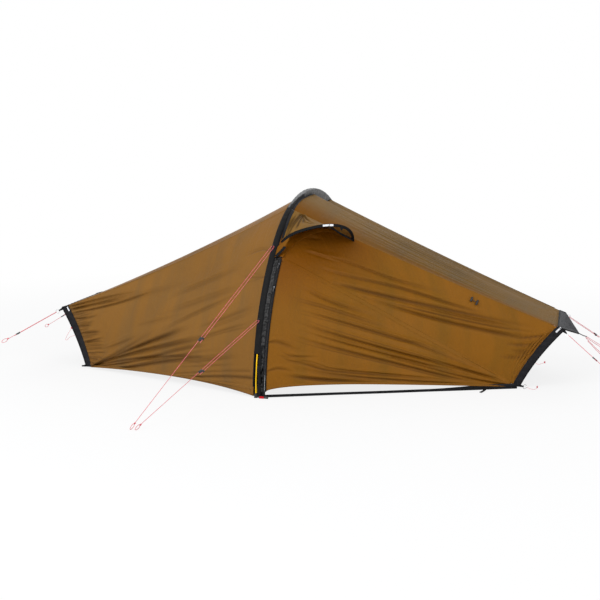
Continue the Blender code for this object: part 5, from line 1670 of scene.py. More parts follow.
@dataclass
class Sleeve:
    """The flat tube of cloth that the hoop pole runs in, grey over the crown and black below."""

    grey_from: float = math.radians(62)
    grey_to: float = math.radians(120)
    grey_below: float = math.radians(87)
    half_width: float = 0.0150
    half_depth: float = 0.0068
    rings: int = 360
    sides: int = 24
    reach: float = 0.222
    loop_radius: float = 0.0075
    loop_wire: float = 0.0014

    def tone(self, angle: float, across: float, below: bool) -> float:
        """Returns 1 where the sleeve is grey; across is 1 on its head side and -1 on its foot side."""
        if below and across > 0:
            return clamp((angle - self.grey_below) / math.radians(4)) * (angle < self.grey_to)
        rise = (angle - self.grey_from) / math.radians(18)
        if across > lerp(-0.2, 1.1, min(rise, 1)):
            return 0.0
        return clamp(min(angle - self.grey_from, self.grey_to - angle) / math.radians(0.6))

    def crinkle(self, length: float, turn: float) -> float:
        """Returns the sleeve's puckering: folds across it where it is gathered round the bend."""
        wave = (math.sin(length * FULL_TURN / 0.043 + 1.3 * math.sin(length * 21))
                + 0.6 * math.sin(length * FULL_TURN / 0.071 + 2.1)
                + 0.4 * math.sin(length * FULL_TURN / 0.019 + 3 * math.sin(turn)))
        return 0.45 * MM * wave * (1.0 if math.sin(turn) > 0 else 0.4)

    def build(self, lines: Sequence["GuyLine"]) -> None:
        """Builds the sleeve, its binding, its seams and its line loops."""
        start, stop = self.reach, HOOP.length - self.reach
        rows, tones = [], []
        for length in steps(self.rings, start, stop):
            angle, row = HOOP.angle_at(length), []
            for turn in steps(self.sides, 0, FULL_TURN)[:-1]:
                c, s = math.cos(turn), math.sin(turn)
                below = s < -0.01
                deep = squared(s, 0.8) * self.half_depth + self.crinkle(length, turn)
                row.append(HOOP.arch(angle, deep - below * crown_drop(angle),
                                     squared(c, 0.8) * self.half_width))
                tones.append(self.tone(angle, c, below))
            rows.append(row)
        points = np.array(rows)
        piece = lattice("pole_sleeve_cloth", points, SLEEVE_CLOTH, closed=True, values={"tone": tones})
        place_piece(thicken(piece, 0.5 * MM, -1), "grey_nylon", nodes=["pole_sleeve"])
        around = float(np.linalg.norm(np.diff(points, axis=1), axis=2).sum(1).mean())
        LOG.info("%s is cut from %.3f x %.3f m", piece.name, around, stop - start)
        self.build_binding(start, stop)
        self.build_flap()
        for line in lines[:2]:
            self.build_loop(line)

    def build_binding(self, start: float, stop: float) -> None:
        """Builds the dark binding along both edges of the sleeve, with its stitches."""
        runs = []
        for label, side, first in (("head", 1, start * 0.12), ("foot", -1, start * 0.25)):
            path, facing = [], []
            for angle in (HOOP.angle_at(v) for v in steps(200, first, stop)):
                tucked = side > 0 and angle < math.radians(105)
                hidden = 0.007 * clamp((angle - math.radians(88)) / 0.05) * tucked
                path.append(HOOP.arch(angle, 0.0012 - hidden - crown_drop(angle),
                                      side * (HOOP.sleeve_edge + 0.0005 - hidden * 0.5)))
                facing.append((HOOP.out(angle) + HOOP.along * side * 0.5).normalized())
            strap(f"sleeve_binding_{label}", path, facing, 0.0075, BINDING, 1.6 * MM)
            runs.append(LineRun(path, facing, 0.9 * MM))
        RepeatedRow("sleeve_stitches", THREAD).build(runs)

    def build_flap(self) -> None:
        """Builds the black edge that lies on hood and roof beside the sleeve and narrows upwards."""
        lift, across = 1.8 * MM, steps(5)
        on_hood = [[DOORWAY.hood_cloth(lerp(0.060, 0.042, up) * k, up) + (OUT * 0.75 + UP * 0.6) * lift
                    for k in across] for up in steps(30, 0.01, 0.995)]
        on_roof = [[HEAD.roof(lerp(0.011, 0.003, over * 2) / 1.35 * k, over) + (OUT * 0.3 + UP) * lift
                    for k in across] for over in steps(30, 0.002, 0.5)]
        leaf("sleeve_flap_hood", on_hood, BAND_CLOTH, 0.7 * MM)
        leaf("sleeve_flap_roof", on_roof, BAND_CLOTH, 0.7 * MM)

    def build_loop(self, line: "GuyLine") -> None:
        """Builds the small cord loop on the sleeve that holds a front guy line."""
        place = line.place @ Matrix.Translation((-self.loop_radius, 0, 0))
        path = [place @ Vector((x, y, 0)) for x, y in round_section(self.loop_radius, 28)]
        path.append(path[0])
        rings = sweep(path, facings(place.to_3x3() @ UP, path), round_section(self.loop_wire, 8))
        place_piece(lattice(f"{line.name}_line_loop", rings, DARK_CORD, closed=True))


@dataclass
class Feet:
    """Straps between the sleeve and the foot cups, with their free tails."""

    side: float = 0.0085 * 1.15 + 0.0006 + 0.0075
    rise: float = 0.0042
    width: float = 0.015
    foot: float = 0.008

    def spot(self, length: float, grow: float, across: float, back: bool) -> Vector:
        """Returns a point beside the pole near either foot."""
        return HOOP.line(HOOP.length - length if back else length, grow, -across if back else across)

    def build(self) -> None:
        """Builds the straps, the red toggle tab and the black toggle at the front foot."""
        runs = []
        for name, back in (("front", False), ("back", True)):
            path = [self.spot(v, self.rise, self.side, back)
                    for v in steps(48, self.foot, HOOP.sleeve_start)]
            out = HOOP.out(math.pi - 0.05 if back else 0.05)
            strap(f"{name}_foot_webbing", path, out, self.width, STRAP, nodes=[f"{name}_foot_strap"])
            runs.append(LineRun(path[-12:], out, 0.8 * MM))
            self.build_tail(name, back, out)
        RepeatedRow("foot_strap_stitches", THREAD, pitch=4 * MM, length=2.8 * MM).build(runs)
        self.build_flap("front", False)
        self.build_flap("back", True)
        foot = HOOP.arch(0, 0.012)
        path = [foot + HOOP.along * v + UP * 0.006 for v in steps(8, 0.022, 0.048)]
        strap("foot_red_tab", path, (OUT + UP * 0.6).normalized(), 0.012, RED_TAPE, 2 * MM)
        knob = [foot + HOOP.along * v + UP * 0.008 for v in steps(6, 0.050, 0.070)]
        tube("foot_toggle", knob, 0.0065, PLASTIC, 14, slot="black_acetal")

    def build_flap(self, name: str, back: bool) -> None:
        """Builds the black cloth behind the bare end of the pole, which flares out at the ground.
        On the foot side it is a dark sheet that stands in for the shade beside the pole.
        """
        def surface(u: float, v: float) -> Vector:
            length = lerp(0.005, 0.262, v)
            wide = 0.0215 + 0.0230 * smooth_step((0.062 - length) / 0.034)
            deep = lerp(-0.0072, -0.0135, clamp((0.075 - length) / 0.03))
            return self.spot(length, deep, lerp(-0.0250, wide, u), back)
        # Painted shade: on the foot side the black strip covers the gap beside the pole as a dark sheet where
        # the cloth lies in shade
        ClothPanel(f"foot_flap_{name}", surface, steps(20), steps(70), PLACKET_CLOTH,
                   "black_webbing").build()

    def build_tail(self, name: str, back: bool, out: Vector) -> None:
        """Builds the strap's free end, which hangs from the buckle."""
        stops = [self.spot(length, self.rise + grow, self.side + aside, back)
                 for length, grow, aside in ((0.166, 0.0030, 0), (0.156, 0.0085, 0), (0.138, 0.0105, 0),
                                             (0.105, 0.0085, 0.003), (0.075, 0.0070, 0.006))]
        strap(f"{name}_foot_strap_tail", smooth_route(stops), out, self.width, STRAP)


@dataclass
class Ends:
    """Bands, corner tabs, visors, mesh walls and reflective strips of both ends."""

    overlap: float = 0.003
    band_thickness: float = 1.0 * MM
    tab_neck: float = 0.004
    tab_loop: float = 0.0015 + 0.0004 + 0.0006

    def build(self) -> None:
        """Builds both ends."""
        runs = []
        for end in (FOOT, HEAD):
            for label, face in (("front", -1), ("back", 1)):
                runs += self.build_band(end, label, face)
                for top in (False, True):
                    self.build_tab(end, label, face, top)
            self.build_wall(end)
            runs += self.build_visor(end)
        RepeatedRow("band_stitches", THREAD).build(runs)

    def band_out(self, end: TentEnd, face: int) -> Vector:
        """Returns the outward direction of a band."""
        a = end.band(0, 1, face) - end.band(0, 0, face)
        b = end.band(CUT.band_width, 0.5, face) - end.band(0, 0.5, face)
        out = a.cross(b).normalized()
        return out if out.y * face > 0 else -out

    def build_band(self, end: TentEnd, label: str, face: int) -> list[LineRun]:
        """Builds a band with its rolled edge and reflective strip, and returns its stitch lines."""
        out, reach = self.band_out(end, face), CUT.band_width + self.overlap
        draw = random.Random(11 + face + end.side * 2).uniform
        creases = folds(*((2, 5, .5, .7, FREE, .05, high, 1, high - draw(.01, .06))
                          for high in steps(8, 0.08, 0.88)))
        ClothPanel(f"band_{end.name}_{label}", lambda u, v: end.band(u * reach, v * 0.9985, face),
                   steps(14), steps(60), BAND_CLOTH, "black_webbing", [f"{end.name}_{label}_band"],
                   creases, swell=lambda u, v: 0.9 * MM * clamp((u - 0.86) * 12),
                   tone=lambda u, v: 0.35 if u < 0.12 else 0.0, thickness=self.band_thickness,
                   edge_fade=0.05).build()
        path = [end.band(0.0012, h, face) + out * 0.5 * MM for h in steps(50, 0.004, 0.996)]
        strap(f"band_edge_{end.name}_{label}", path, out, 0.0065, BINDING, 2.4 * MM)
        if face < 0:
            across, high, low = (0.025, 1.01, 0.925) if end is HEAD else (0.033, 0.985, 0.915)
            strip = [end.band(across, h, face) + out * 1.9 * MM for h in steps(12, high, low)]
            strap(f"reflective_strip_{end.name}", strip, out, 0.009, BEAD_TAPE, 0.8 * MM)
        return [LineRun([end.band(across, h, face) for h in steps(40, 0.01, 0.985)], out, lift)
                for across, lift in ((0.0055, 0.7 * MM), (CUT.band_width - 0.0005, 1.1 * MM))]

    def build_tab(self, end: TentEnd, label: str, face: int, top: bool) -> None:
        """Builds a corner tab: webbing sewn to the band and folded round its ring."""
        place = end.tab_frame(face, top)
        low, high = end.tab_seam(face, top)
        half, reach = (high - low).length / 2, CUT.tab_reach
        bow = CUT.ring_radius - math.sqrt(CUT.ring_radius ** 2 - self.tab_neck ** 2)
        outer = [(-reach * 0.25, CUT.fabric * 1.1), (reach * 0.3, CUT.fabric),
                 (reach - 2 * CUT.ring_wire, self.tab_loop)]
        bend = [(reach + bow + self.tab_loop * math.cos(turn), self.tab_loop * math.sin(turn))
                for turn in steps(8, math.radians(80), math.radians(-80))]
        stops = outer + bend + [(x, -z) for x, z in outer[::-1]]
        rows = []
        for p in smooth_route([Vector((x, 0, z)) for x, z in stops], 3):
            side = lerp(half, self.tab_neck, smooth_step((p.x - reach * 0.2) / (reach * 0.6)))
            rows.append([place @ Vector((p.x, side * s, p.z)) for s in steps(6, -1, 1)])
        leaf(f"tab_{end.name}_{label}_{'guy' if top else 'peg'}", rows, STRAP, 1.1 * MM)

    def build_wall(self, end: TentEnd) -> None:
        """Builds the netting wall of an end."""
        ClothPanel(f"netting_{end.name}", end.end_wall, steps(30), steps(30), NET, "dark_mesh",
                   [f"{end.name}_mesh_wall"], swell=lambda u, v: 0.004 * hump(u) * hump(v),
                   thickness=0.3 * MM).build()

    def build_visor(self, end: TentEnd) -> list[LineRun]:
        """Builds the visor that is drawn out over the netting, and its bound edges."""
        draw = random.Random(21 + end.side).uniform
        table = [(3, 8, .5, 0, FREE, over, .36, lerp(over, .5, .5), .7, lerp(over, .5, .9), .97)
                 for over in (.12, .3, .46, .6, .78, .9)]
        table += [(2, 8, .3, .7, FREE, over, .02, over + draw(-.02, .02), .5)
                  for over in steps(9, .06, .94)]
        ClothPanel(f"visor_{end.name}", end.visor, steps(54), steps(36), VISOR_CLOTH, "grey_nylon",
                   [f"{end.name}_visor"], folds(*table), thickness=0.9 * MM, edge_fade=0.03).build()
        lines = []
        for label, over, face in (("front", 0.0, -1), ("back", 1.0, 1)):
            path = [end.visor(over, out) for out in steps(30, 0.02, 1)]
            facing = end.at(0.7, face * 0.55, 0.5).normalized()
            strap(f"visor_edge_{end.name}_{label}", path, facing, 0.008, BINDING, 2.4 * MM)
            lines.append(LineRun(path, facing, 1.4 * MM))
        seam = [end.visor(over, 0.03) + UP * 0.9 * MM for over in steps(50, 0.01, 0.99)]
        strap(f"visor_seam_{end.name}", seam, UP, 0.008, BINDING, 1.2 * MM)
        return lines + [LineRun(seam, UP, 0.8 * MM)]


@dataclass
class ZipAndPlacket:
    """The wrinkled black strip beside the sleeve, the zip's tapes and its two rows of teeth."""

    tape: float = 0.009
    tooth_pitch: float = 1.9 * MM
    tooth_length: float = 3.4 * MM
    tooth_radius: float = 0.62 * MM
    sewn: float = 0.7

    def wrinkles(self) -> list[Crease]:
        """Returns the placket's puckers, which cross it aslant."""
        draw = random.Random(5).uniform
        made = []
        for place in steps(43, 0.012, 0.612):
            share, slant = place + draw(-.004, .004), draw(-.022, .022)
            route = ((draw(0, .25), share), (.5, share + slant * .6), (draw(.75, 1), share + slant))
            made.append(Crease(route, draw(1.6, 3.2), draw(3.5, 7), 0.0, 0.2))
        return made

    def build(self) -> None:
        """Builds the placket, the tapes and the teeth."""
        turn = DOORWAY.zip_turn
        ClothPanel("placket", lambda u, v: DOORWAY.placket(v, u), steps(16), steps(240, 0, turn + 0.004),
                   PLACKET_CLOTH, "black_webbing", ["door_surround"], self.wrinkles(),
                   tone=lambda u, v: 0.0, thickness=0.8 * MM, edge_fade=0.002).build()
        # Painted shade: the cloth over the zip's arch is painted fully in the hood's deep orange shade
        ClothPanel("surround_cloth", self.storm_flap, steps(20), steps(100, turn + 0.006, 0.998),
                   DOOR_CLOTH, shade=lambda u, v: 1.0, thickness=0.8 * MM).build()
        leg, arch = steps(150, 0.002, turn - 0.006), steps(110, turn + 0.004, 0.998)
        place = (DOORWAY.chain_gap + DOORWAY.chain_width) / 2
        frame_teeth = [self.run(leg + arch, -place), self.run(arch, place)]
        for name, runs, body in (("frame", frame_teeth, "tent"), ("door", [self.run(leg, place)], "door")):
            row = RepeatedRow(f"zip_teeth_{name}", PLASTIC, "black_acetal", body, Tread.TOOTH,
                              self.tooth_pitch, self.tooth_length, self.tooth_radius)
            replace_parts(row.build(runs), f"{name}_zip_chain")
        for name, shares, side, body, width in (("frame", leg, -1, "tent", self.tape),
                                                ("door", leg, 1, "door", self.tape),
                                                ("arch_frame", arch, -1, "tent", self.tape / 2),
                                                ("arch_cloth", arch, 1, "tent", self.tape / 2)):
            # It starts under its teeth and covers the cloth's edge
            rows = [[DOORWAY.zip_side(s, side * (0.0006 + width * k / 4), (0.5 + 0.7 * min(1, k / 2)) * MM)
                     for k in range(5)] for s in shares]
            leaf(f"zip_tape_{name}", rows, BINDING, 0.6 * MM, body=body)

    def storm_flap(self, across: float, share: float) -> Vector:
        """Returns a point of the cloth over the zip's arch; its free edge covers the teeth."""
        lift = DOORWAY.zip_normal(share) * 3.4 * MM
        if across < self.sewn:
            part = across / self.sewn
            return DOORWAY.placket(share, part) + lift * part ** 2
        part = (across - self.sewn) / (1 - self.sewn)
        edge = DOORWAY.chain_edge + DOORWAY.fold_gap
        return DOORWAY.zip_side(share, lerp(-edge, 0.013, part)) + lift

    def run(self, shares: Sequence[float], offset: float) -> LineRun:
        """Returns the line of one row of teeth."""
        return LineRun([DOORWAY.zip_side(s, offset, 1.2 * MM) for s in shares],
                       [DOORWAY.zip_normal(s) for s in shares])


@dataclass
class Hood:
    """The hood over the top of the door, with its bound brim, strut and reflective strip."""

    brim_width: float = 0.0155
    brim_thickness: float = 0.0032
    strip: tuple[float, float] = (0.495, 0.605)
    loop_share: float = 0.705
    side_angle: float = math.radians(37.0)

    def creases(self) -> list[Crease]:
        """Returns the hood's folds, most of which hang from its corner beside the sleeve."""
        main = folds(
            (3, 12, 1, .2, RUN, .165, .99, .155, .5, .135, .02),
            (3, 11, 1, .3, RUN, .145, .95, .125, .5, .09, .02),
            (3, 10, .95, .3, FREE, .125, .88, .095, .45, .068, .05),
            (3, 11, .9, .4, FAN, .18, .97, .2, .5, .205, .05),
            (3, 10, .95, .3, FREE, .105, .97, .08, .55, .064, .15),
            (3, 12, 1, .4, FAN, .175, .98, .24, .86, .34, .7),
            (3, 10, .8, .5, FAN, .185, .92, .235, .7, .26, .42),
            (2, 9, .5, .5, FAN, .2, .9, .32, .7, .48, .52), (2, 9, .5, .7, FREE, .23, .6, .42, .48),
            (2, 10, .35, .7, FREE, .3, .12, .6, .35), (2, 10, .3, .7, FREE, .55, .9, .9, .4))
        return with_strands(main, 41, 2, 0.04)

    def facing(self, share: float) -> Vector:
        """Returns the outward direction of the brim."""
        along, out = DOORWAY.rim_along(share), OUT * 0.93 + UP * 0.25
        return (out - along * out.dot(along)).normalized()

    def up_at(self, share: float) -> Vector:
        """Returns the direction across the brim, upwards."""
        up = self.facing(share).cross(DOORWAY.rim_along(share)).normalized()
        return up if up.z > 0 else -up

    def build(self) -> None:
        """Builds the hood and its trim."""
        ClothPanel("hood_cloth", DOORWAY.hood_cloth, steps(150, 0, 0.985), steps(60), HOOD_CLOTH,
                   nodes=["hood_canopy"], creases=self.creases(), edge_fade=0.015).build()
        shares = steps(70)
        strap("hood_brim", [DOORWAY.brim(s) for s in shares], [self.facing(s) for s in shares],
              self.brim_width, BINDING, self.brim_thickness, nodes=["hood_rim"])
        lift = self.brim_thickness / 2 + 0.4 * MM
        shares = steps(24, *self.strip)
        facing = [self.facing(s) for s in shares]
        strap("hood_reflective_strip", [DOORWAY.rim(s) + out * lift for s, out in zip(shares, facing)],
              facing, 0.010, BEAD_TAPE, 0.7 * MM)
        shares = steps(60, 0.01, 0.99)
        facing = [self.facing(s) for s in shares]
        runs = [LineRun([DOORWAY.brim(s) + self.up_at(s) * edge for s in shares], facing, lift * 0.95)
                for edge in (0.4 * self.brim_width, -0.4 * self.brim_width)]
        RepeatedRow("hood_stitches", THREAD).build(runs)
        self.build_loop()
        self.build_strut()
        self.build_toggle()

    def build_strut(self) -> None:
        """Builds the strap that spans the brim's far bend, and the bound edge beside the sleeve."""
        first, last = DOORWAY.rim(0.56), DOORWAY.rim(0.985)
        path = [first.lerp(last, t) - UP * 0.006 * hump(t) + OUT * 0.004 for t in steps(20)]
        strap("hood_strut_strap", path, (OUT + UP * 0.3).normalized(), 0.009, STRAP, 1.6 * MM)
        low = HOOP.arch(self.side_angle, 0.010, HOOP.sleeve_edge + 0.008)
        high = DOORWAY.brim(0.15) - UP * 0.006 - OUT * 0.004
        middle = low.lerp(high, 0.5) + HOOP.along * 0.006 - UP * 0.006
        edge = smooth_route([low, middle, high], 10)
        strap("hood_side_binding", edge[:12], (OUT + UP * 0.2).normalized(), 0.014, BINDING, 1.8 * MM)

        def surface(across: float, up: float) -> Vector:
            inner = HOOP.arch(lerp(self.side_angle, DOORWAY.rim_angle - 0.040, up), 0.003,
                              HOOP.sleeve_edge)
            stop = up * (len(edge) - 1)
            first = min(int(stop), len(edge) - 2)
            return inner.lerp(edge[first].lerp(edge[first + 1], stop - first), across)
        # Painted shade: the flap beside the sleeve is painted three quarters in the hood's deep orange shade
        ClothPanel("hood_side_flap", surface, steps(10), steps(24), HOOD_CLOTH,
                   shade=lambda u, v: 0.75).build()

    def build_loop(self) -> None:
        """Builds the small webbing loop on the brim."""
        base = DOORWAY.rim(self.loop_share)
        out, up = self.facing(self.loop_share), self.up_at(self.loop_share)
        stops = [base + (out * x - up * down + out.cross(up) * aside) * MM
                 for x, down, aside in ((2.2, 4, 3), (3.2, 12, 4), (2.6, 17, 0), (3.2, 12, -4), (2.2, 4, -3))]
        strap("hood_brim_loop", smooth_route(stops), out, 0.009, STRAP)

    def build_toggle(self) -> None:
        """Builds the toggle's thicker grip, and the second bar and cord that swing with it."""
        points = [Vector(v.co) for v in FRAME["nodes"]["door_tie_toggle"].data.vertices]
        middle, down = sum(points, Vector()) / len(points), DOORWAY.panel_down
        half = max(abs((p - middle).dot(down)) for p in points)
        side = DOORWAY.fixed_side(0.64, 0.885) - DOORWAY.fixed_side(0.619, 0.90)
        for name, shift, reach in (("door_tie_grip", Vector(), half * 0.92), ("door_tie_bar", side, half)):
            path = [middle + shift + down * v for v in steps(8, -reach, reach)]
            tube(name, path, 0.0052, PLASTIC, 12, slot="black_acetal", body="tie_toggle")
        link = [middle + side * t for t in steps(6, 0.1, 0.9)]
        tube("door_tie_link", link, 0.0018, DARK_CORD, 8, body="tie_toggle")


@dataclass(frozen=True)
class GuyLine:
    """One guy line: X of its frame runs down the line from the wire that it passes round."""

    name: str
    place: Matrix
    length: float
    runner: float

    def at(self, x: float, z: float, y: float = 0.0) -> Vector:
        """Returns a point in the plane of the two strands, or y beside it."""
        return self.place @ Vector((x, y, z))


@dataclass
class Lines:
    """Guy lines, the visor's cord and the spare ends of cord."""

    cord: float = 0.00125
    bend: float = 0.008
    bend_start: float = 0.008 - 0.00125 - 0.0015 - 0.0004
    loop_length: float = 0.034
    loop_half: float = 0.009
    bore_gap: float = 0.0005
    runner: float = 0.024
    sleeve_loop: float = 0.0075
    front_peg: tuple[float, float, float] = (-0.503, -1.550, 0.006)
    peg_spread: float = 0.012
    visor_knot: float = 0.040
    spare: float = 0.00075
    knot_turns: int = 3

    @cached_property
    def beside(self) -> float:
        """Distance of the returning cord from the long strand at the end loop."""
        return 2 * self.cord + self.bore_gap

    def guy_lines(self) -> list[GuyLine]:
        """Returns the six guy lines, front pair first."""
        lines = []
        grow = HOOP.sleeve_top - HOOP.sleeve_wall / 2 + self.sleeve_loop
        for name, degrees, runner, aside in (("front_upper", 40.2, 0.53, -self.peg_spread),
                                             ("front_lower", 19.7, 0.48, self.peg_spread)):
            middle = HOOP.line(HOOP.length_at(math.radians(degrees)), grow, -0.004)
            peg = Vector(self.front_peg) + Vector((aside, 0, 0))
            wire = middle + (peg - middle).normalized() * self.sleeve_loop
            x = (peg + HOOP.along * self.bend - wire).normalized()
            place = frame_at(wire, x, HOOP.along.cross(x).normalized())
            reach = (peg - wire).length
            lines.append(GuyLine(name, place, reach, reach * runner))
        for end, face, length, runner in ((FOOT, -1, 0.345, 0.232), (FOOT, 1, 0.545, 0.330),
                                          (HEAD, -1, 0.290, 0.185), (HEAD, 1, 0.320, 0.215)):
            place = end.ring_frame(face, True) @ Matrix.Translation((CUT.ring_radius, 0, 0))
            lines.append(GuyLine(f"{end.name}_{'front' if face < 0 else 'back'}", place, length, runner))
        return lines

    def route(self, line: GuyLine) -> list[Vector]:
        """Returns a line's path: short strand, bend in the ring, long strand and its end loop."""
        neck, tail = line.length - self.loop_length, line.runner + self.runner + 0.010
        points = [line.at(x, self.bend) for x in
                  steps(3, tail, line.runner) + steps(6, line.runner, self.bend_start)[1:-1]]
        points += [line.at(self.bend_start - self.bend * math.cos(turn), self.bend * math.sin(turn))
                   for turn in steps(14, math.pi / 2, -math.pi / 2)]
        points += [line.at(x, -self.bend) for x in
                   steps(6, self.bend_start, line.runner)[1:] + steps(5, line.runner, neck)[1:]]
        for turn in steps(24)[3:]:
            around = math.pi * (0.12 + 0.88 * turn) * 2 - math.pi * 0.12
            x = neck + self.loop_length * (1 - math.cos(FULL_TURN * turn)) / 2
            points.append(line.at(x, -self.bend,
                                  self.loop_half * math.sin(around) + self.beside * turn ** 2))
        return points + [line.at(neck - 0.010, -self.bend, self.beside)]

    def build_cord(self, name: str, path: Sequence[Vector], radius: float,
                   nodes: Sequence[str] = ()) -> None:
        """Builds one cord and logs its length."""
        piece = tube(name, path, radius, GUY_CORD, slot="pink_cord", nodes=nodes)
        length = path_length(path)
        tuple(path[0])
        LOG.info("%s is %.3f m of %.1f mm cord", name, length, 2000 * radius)

    def build(self, lines: Sequence[GuyLine]) -> None:
        """Builds every cord."""
        for line in lines:
            self.build_cord(f"{line.name}_line", self.route(line), self.cord,
                            nodes=[f"{line.name}_guy_line"])
            self.build_knot(line)
        self.build_visor_line()
        self.build_spare_ends()

    def build_knot(self, line: GuyLine) -> None:
        """Builds the knot that ties the end loop, wound round both strands."""
        neck, path = line.length - self.loop_length, []
        for t in steps(54):
            turn = FULL_TURN * self.knot_turns * t
            path.append(line.at(neck - 0.0085 + 0.008 * t, -self.bend + 2.0 * self.cord * math.sin(turn),
                                self.beside / 2 + 2.35 * self.cord * math.cos(turn)))
        tube(f"{line.name}_line_knot", path, self.cord, GUY_CORD, 8, slot="pink_cord")

    def build_visor_line(self) -> None:
        """Builds the cord of the head visor: out from the tip through its knot in two loops."""
        tip = HEAD.visor_tip() + Vector((CUT.seam, 0, 0))
        knot = tip + Vector((1, -0.3, -0.35)) * self.visor_knot
        drop, side = Vector((0, -0.003, -0.008)), Vector((0.002, -0.004, -0.010))
        upper = Vector((0.80, -0.30, -0.42)).normalized()
        lower = Vector((0.72, -0.34, -0.60)).normalized()
        stops = [tip, tip.lerp(knot, 0.5) - UP * 0.002, knot]
        stops += [knot + upper * out + side * aside for out, aside in
                  ((0.07, 0), (0.135, 0), (0.145, 0.5), (0.135, 1), (0.07, 1), (0.006, 0.7))]
        stops.append(knot + drop * 0.9 - upper * 0.004)
        stops += [knot + lower * out + side * aside for out, aside in
                  ((0.010, 1.3), (0.06, 1.6), (0.115, 1.6), (0.123, 2.1), (0.115, 2.6), (0.06, 2.5),
                   (0.004, 1.9))]
        self.build_cord("visor_cord", smooth_route(stops), self.cord, nodes=["visor_line"])
        cover = [tip.lerp(knot, t) - UP * 0.008 * t * (1 - t) for t in steps(10, -0.12, 1.06)]
        tube("visor_cord_cover", cover, 0.0023, DARK_CORD)

    def build_spare_ends(self) -> None:
        """Builds the loose ends of cord that hang from the bands, each with its red knot."""
        def near(base: Vector, *shifts: tuple[float, float, float]) -> list[Vector]:
            """Returns the points at some distances from a base."""
            return [base + Vector(shift) for shift in shifts]

        high, low, ring = FOOT.edge(0.66), FOOT.edge(0.53), HEAD.ring_frame(-1, False).translation
        tip, ground = high + Vector((-0.040, -0.010, -0.066)), Vector((ring.x, ring.y, 0))
        foot = [high, high.lerp(tip, 0.5) + UP * 0.004,
                *near(tip, (0.006, 0, 0.008), (0.002, 0, -0.001), (0.012, 0, -0.003)),
                tip.lerp(low, 0.5) + UP * 0.003, low + Vector((-0.003, -0.002, 0))]
        head = near(HEAD.edge(0.42), (0.002, -0.002, 0), (0.018, -0.006, -0.006), (0.038, -0.008, 0),
                    (0.050, -0.010, 0.008))
        peg = near(ring, (0.010, -0.004, -0.002)) + near(ground, (0.034, -0.012, 0.0045),
                                                         (0.056, -0.012, 0.006), (0.066, -0.010, 0.022))
        for name, stops, knot in (("foot", foot, high + Vector((-0.002, -0.004, 0))),
                                  ("head", head, head[-1]),
                                  ("peg", peg, ground + Vector((0.064, -0.010, 0.018)))):
            self.build_cord(f"{name}_spare_end", smooth_route(stops), self.spare)
            path = [knot + Vector((0.0024 * math.cos(t), 0.0024 * math.sin(t) - 0.002, 0.0005 * t - 0.005))
                    for t in steps(40, 0, self.knot_turns * FULL_TURN)]
            tube(f"{name}_spare_end_knot", path, 0.0014, RED_KNOT, 8, slot="pink_cord")


@dataclass
class GroundStrap:
    """The webbing along the ground from the pole's foot to the pegged head corner."""

    height: float = 0.014
    wedge_from: float = 0.66

    def build(self) -> None:
        """Builds the strap, standing on its edge as its tension holds it, and its free tail."""
        start = HOOP.arch(0, 0, 0.0085 * 1.15 + CUT.seam * 1.5)
        finish = HEAD.low() + Vector((-0.012, -0.014, 0))
        middle = CUT.seam / 2 + self.height / 2
        across = (finish - start).cross(UP).normalized()
        across = across if across.y < 0 else -across
        path, facing, wedge = [], [], []
        for t in steps(80):
            p = start.lerp(finish, t)
            path.append(Vector((p.x, p.y, middle)) + across * 0.0012 * math.sin(t * 17) * hump(t))
            facing.append((across + UP * 0.10 * math.sin(t * 11 + 1)).normalized())
        for t in steps(40, self.wedge_from, 1):
            p = start.lerp(finish, t) - across * 0.0035
            tall = 0.008 + 0.013 * min((t - self.wedge_from) / 0.2, 1) ** 1.5
            wedge.append([Vector((p.x, p.y, 0.006 + tall * k)) for k in steps(4)])
        leaf("ground_strap_wedge", wedge, BAND_CLOTH, 0.8 * MM)
        strap("ground_webbing", path, facing, self.height, STRAP, nodes=["ground_strap"])
        LOG.info("ground_webbing is %.3f m long", path_length(path))
        p = start.lerp(finish, 0.875)
        stops = [Vector((p.x + x, p.y + y, z)) for x, y, z in (
            (0.012, -0.004, 0.012), (0.004, -0.016, 0.010), (-0.006, -0.050, 0.006), (-0.020, -0.090, 0.005))]
        strap("ground_strap_tail", smooth_route(stops, 8), (across * 0.4 + UP).normalized(), 0.012, STRAP)


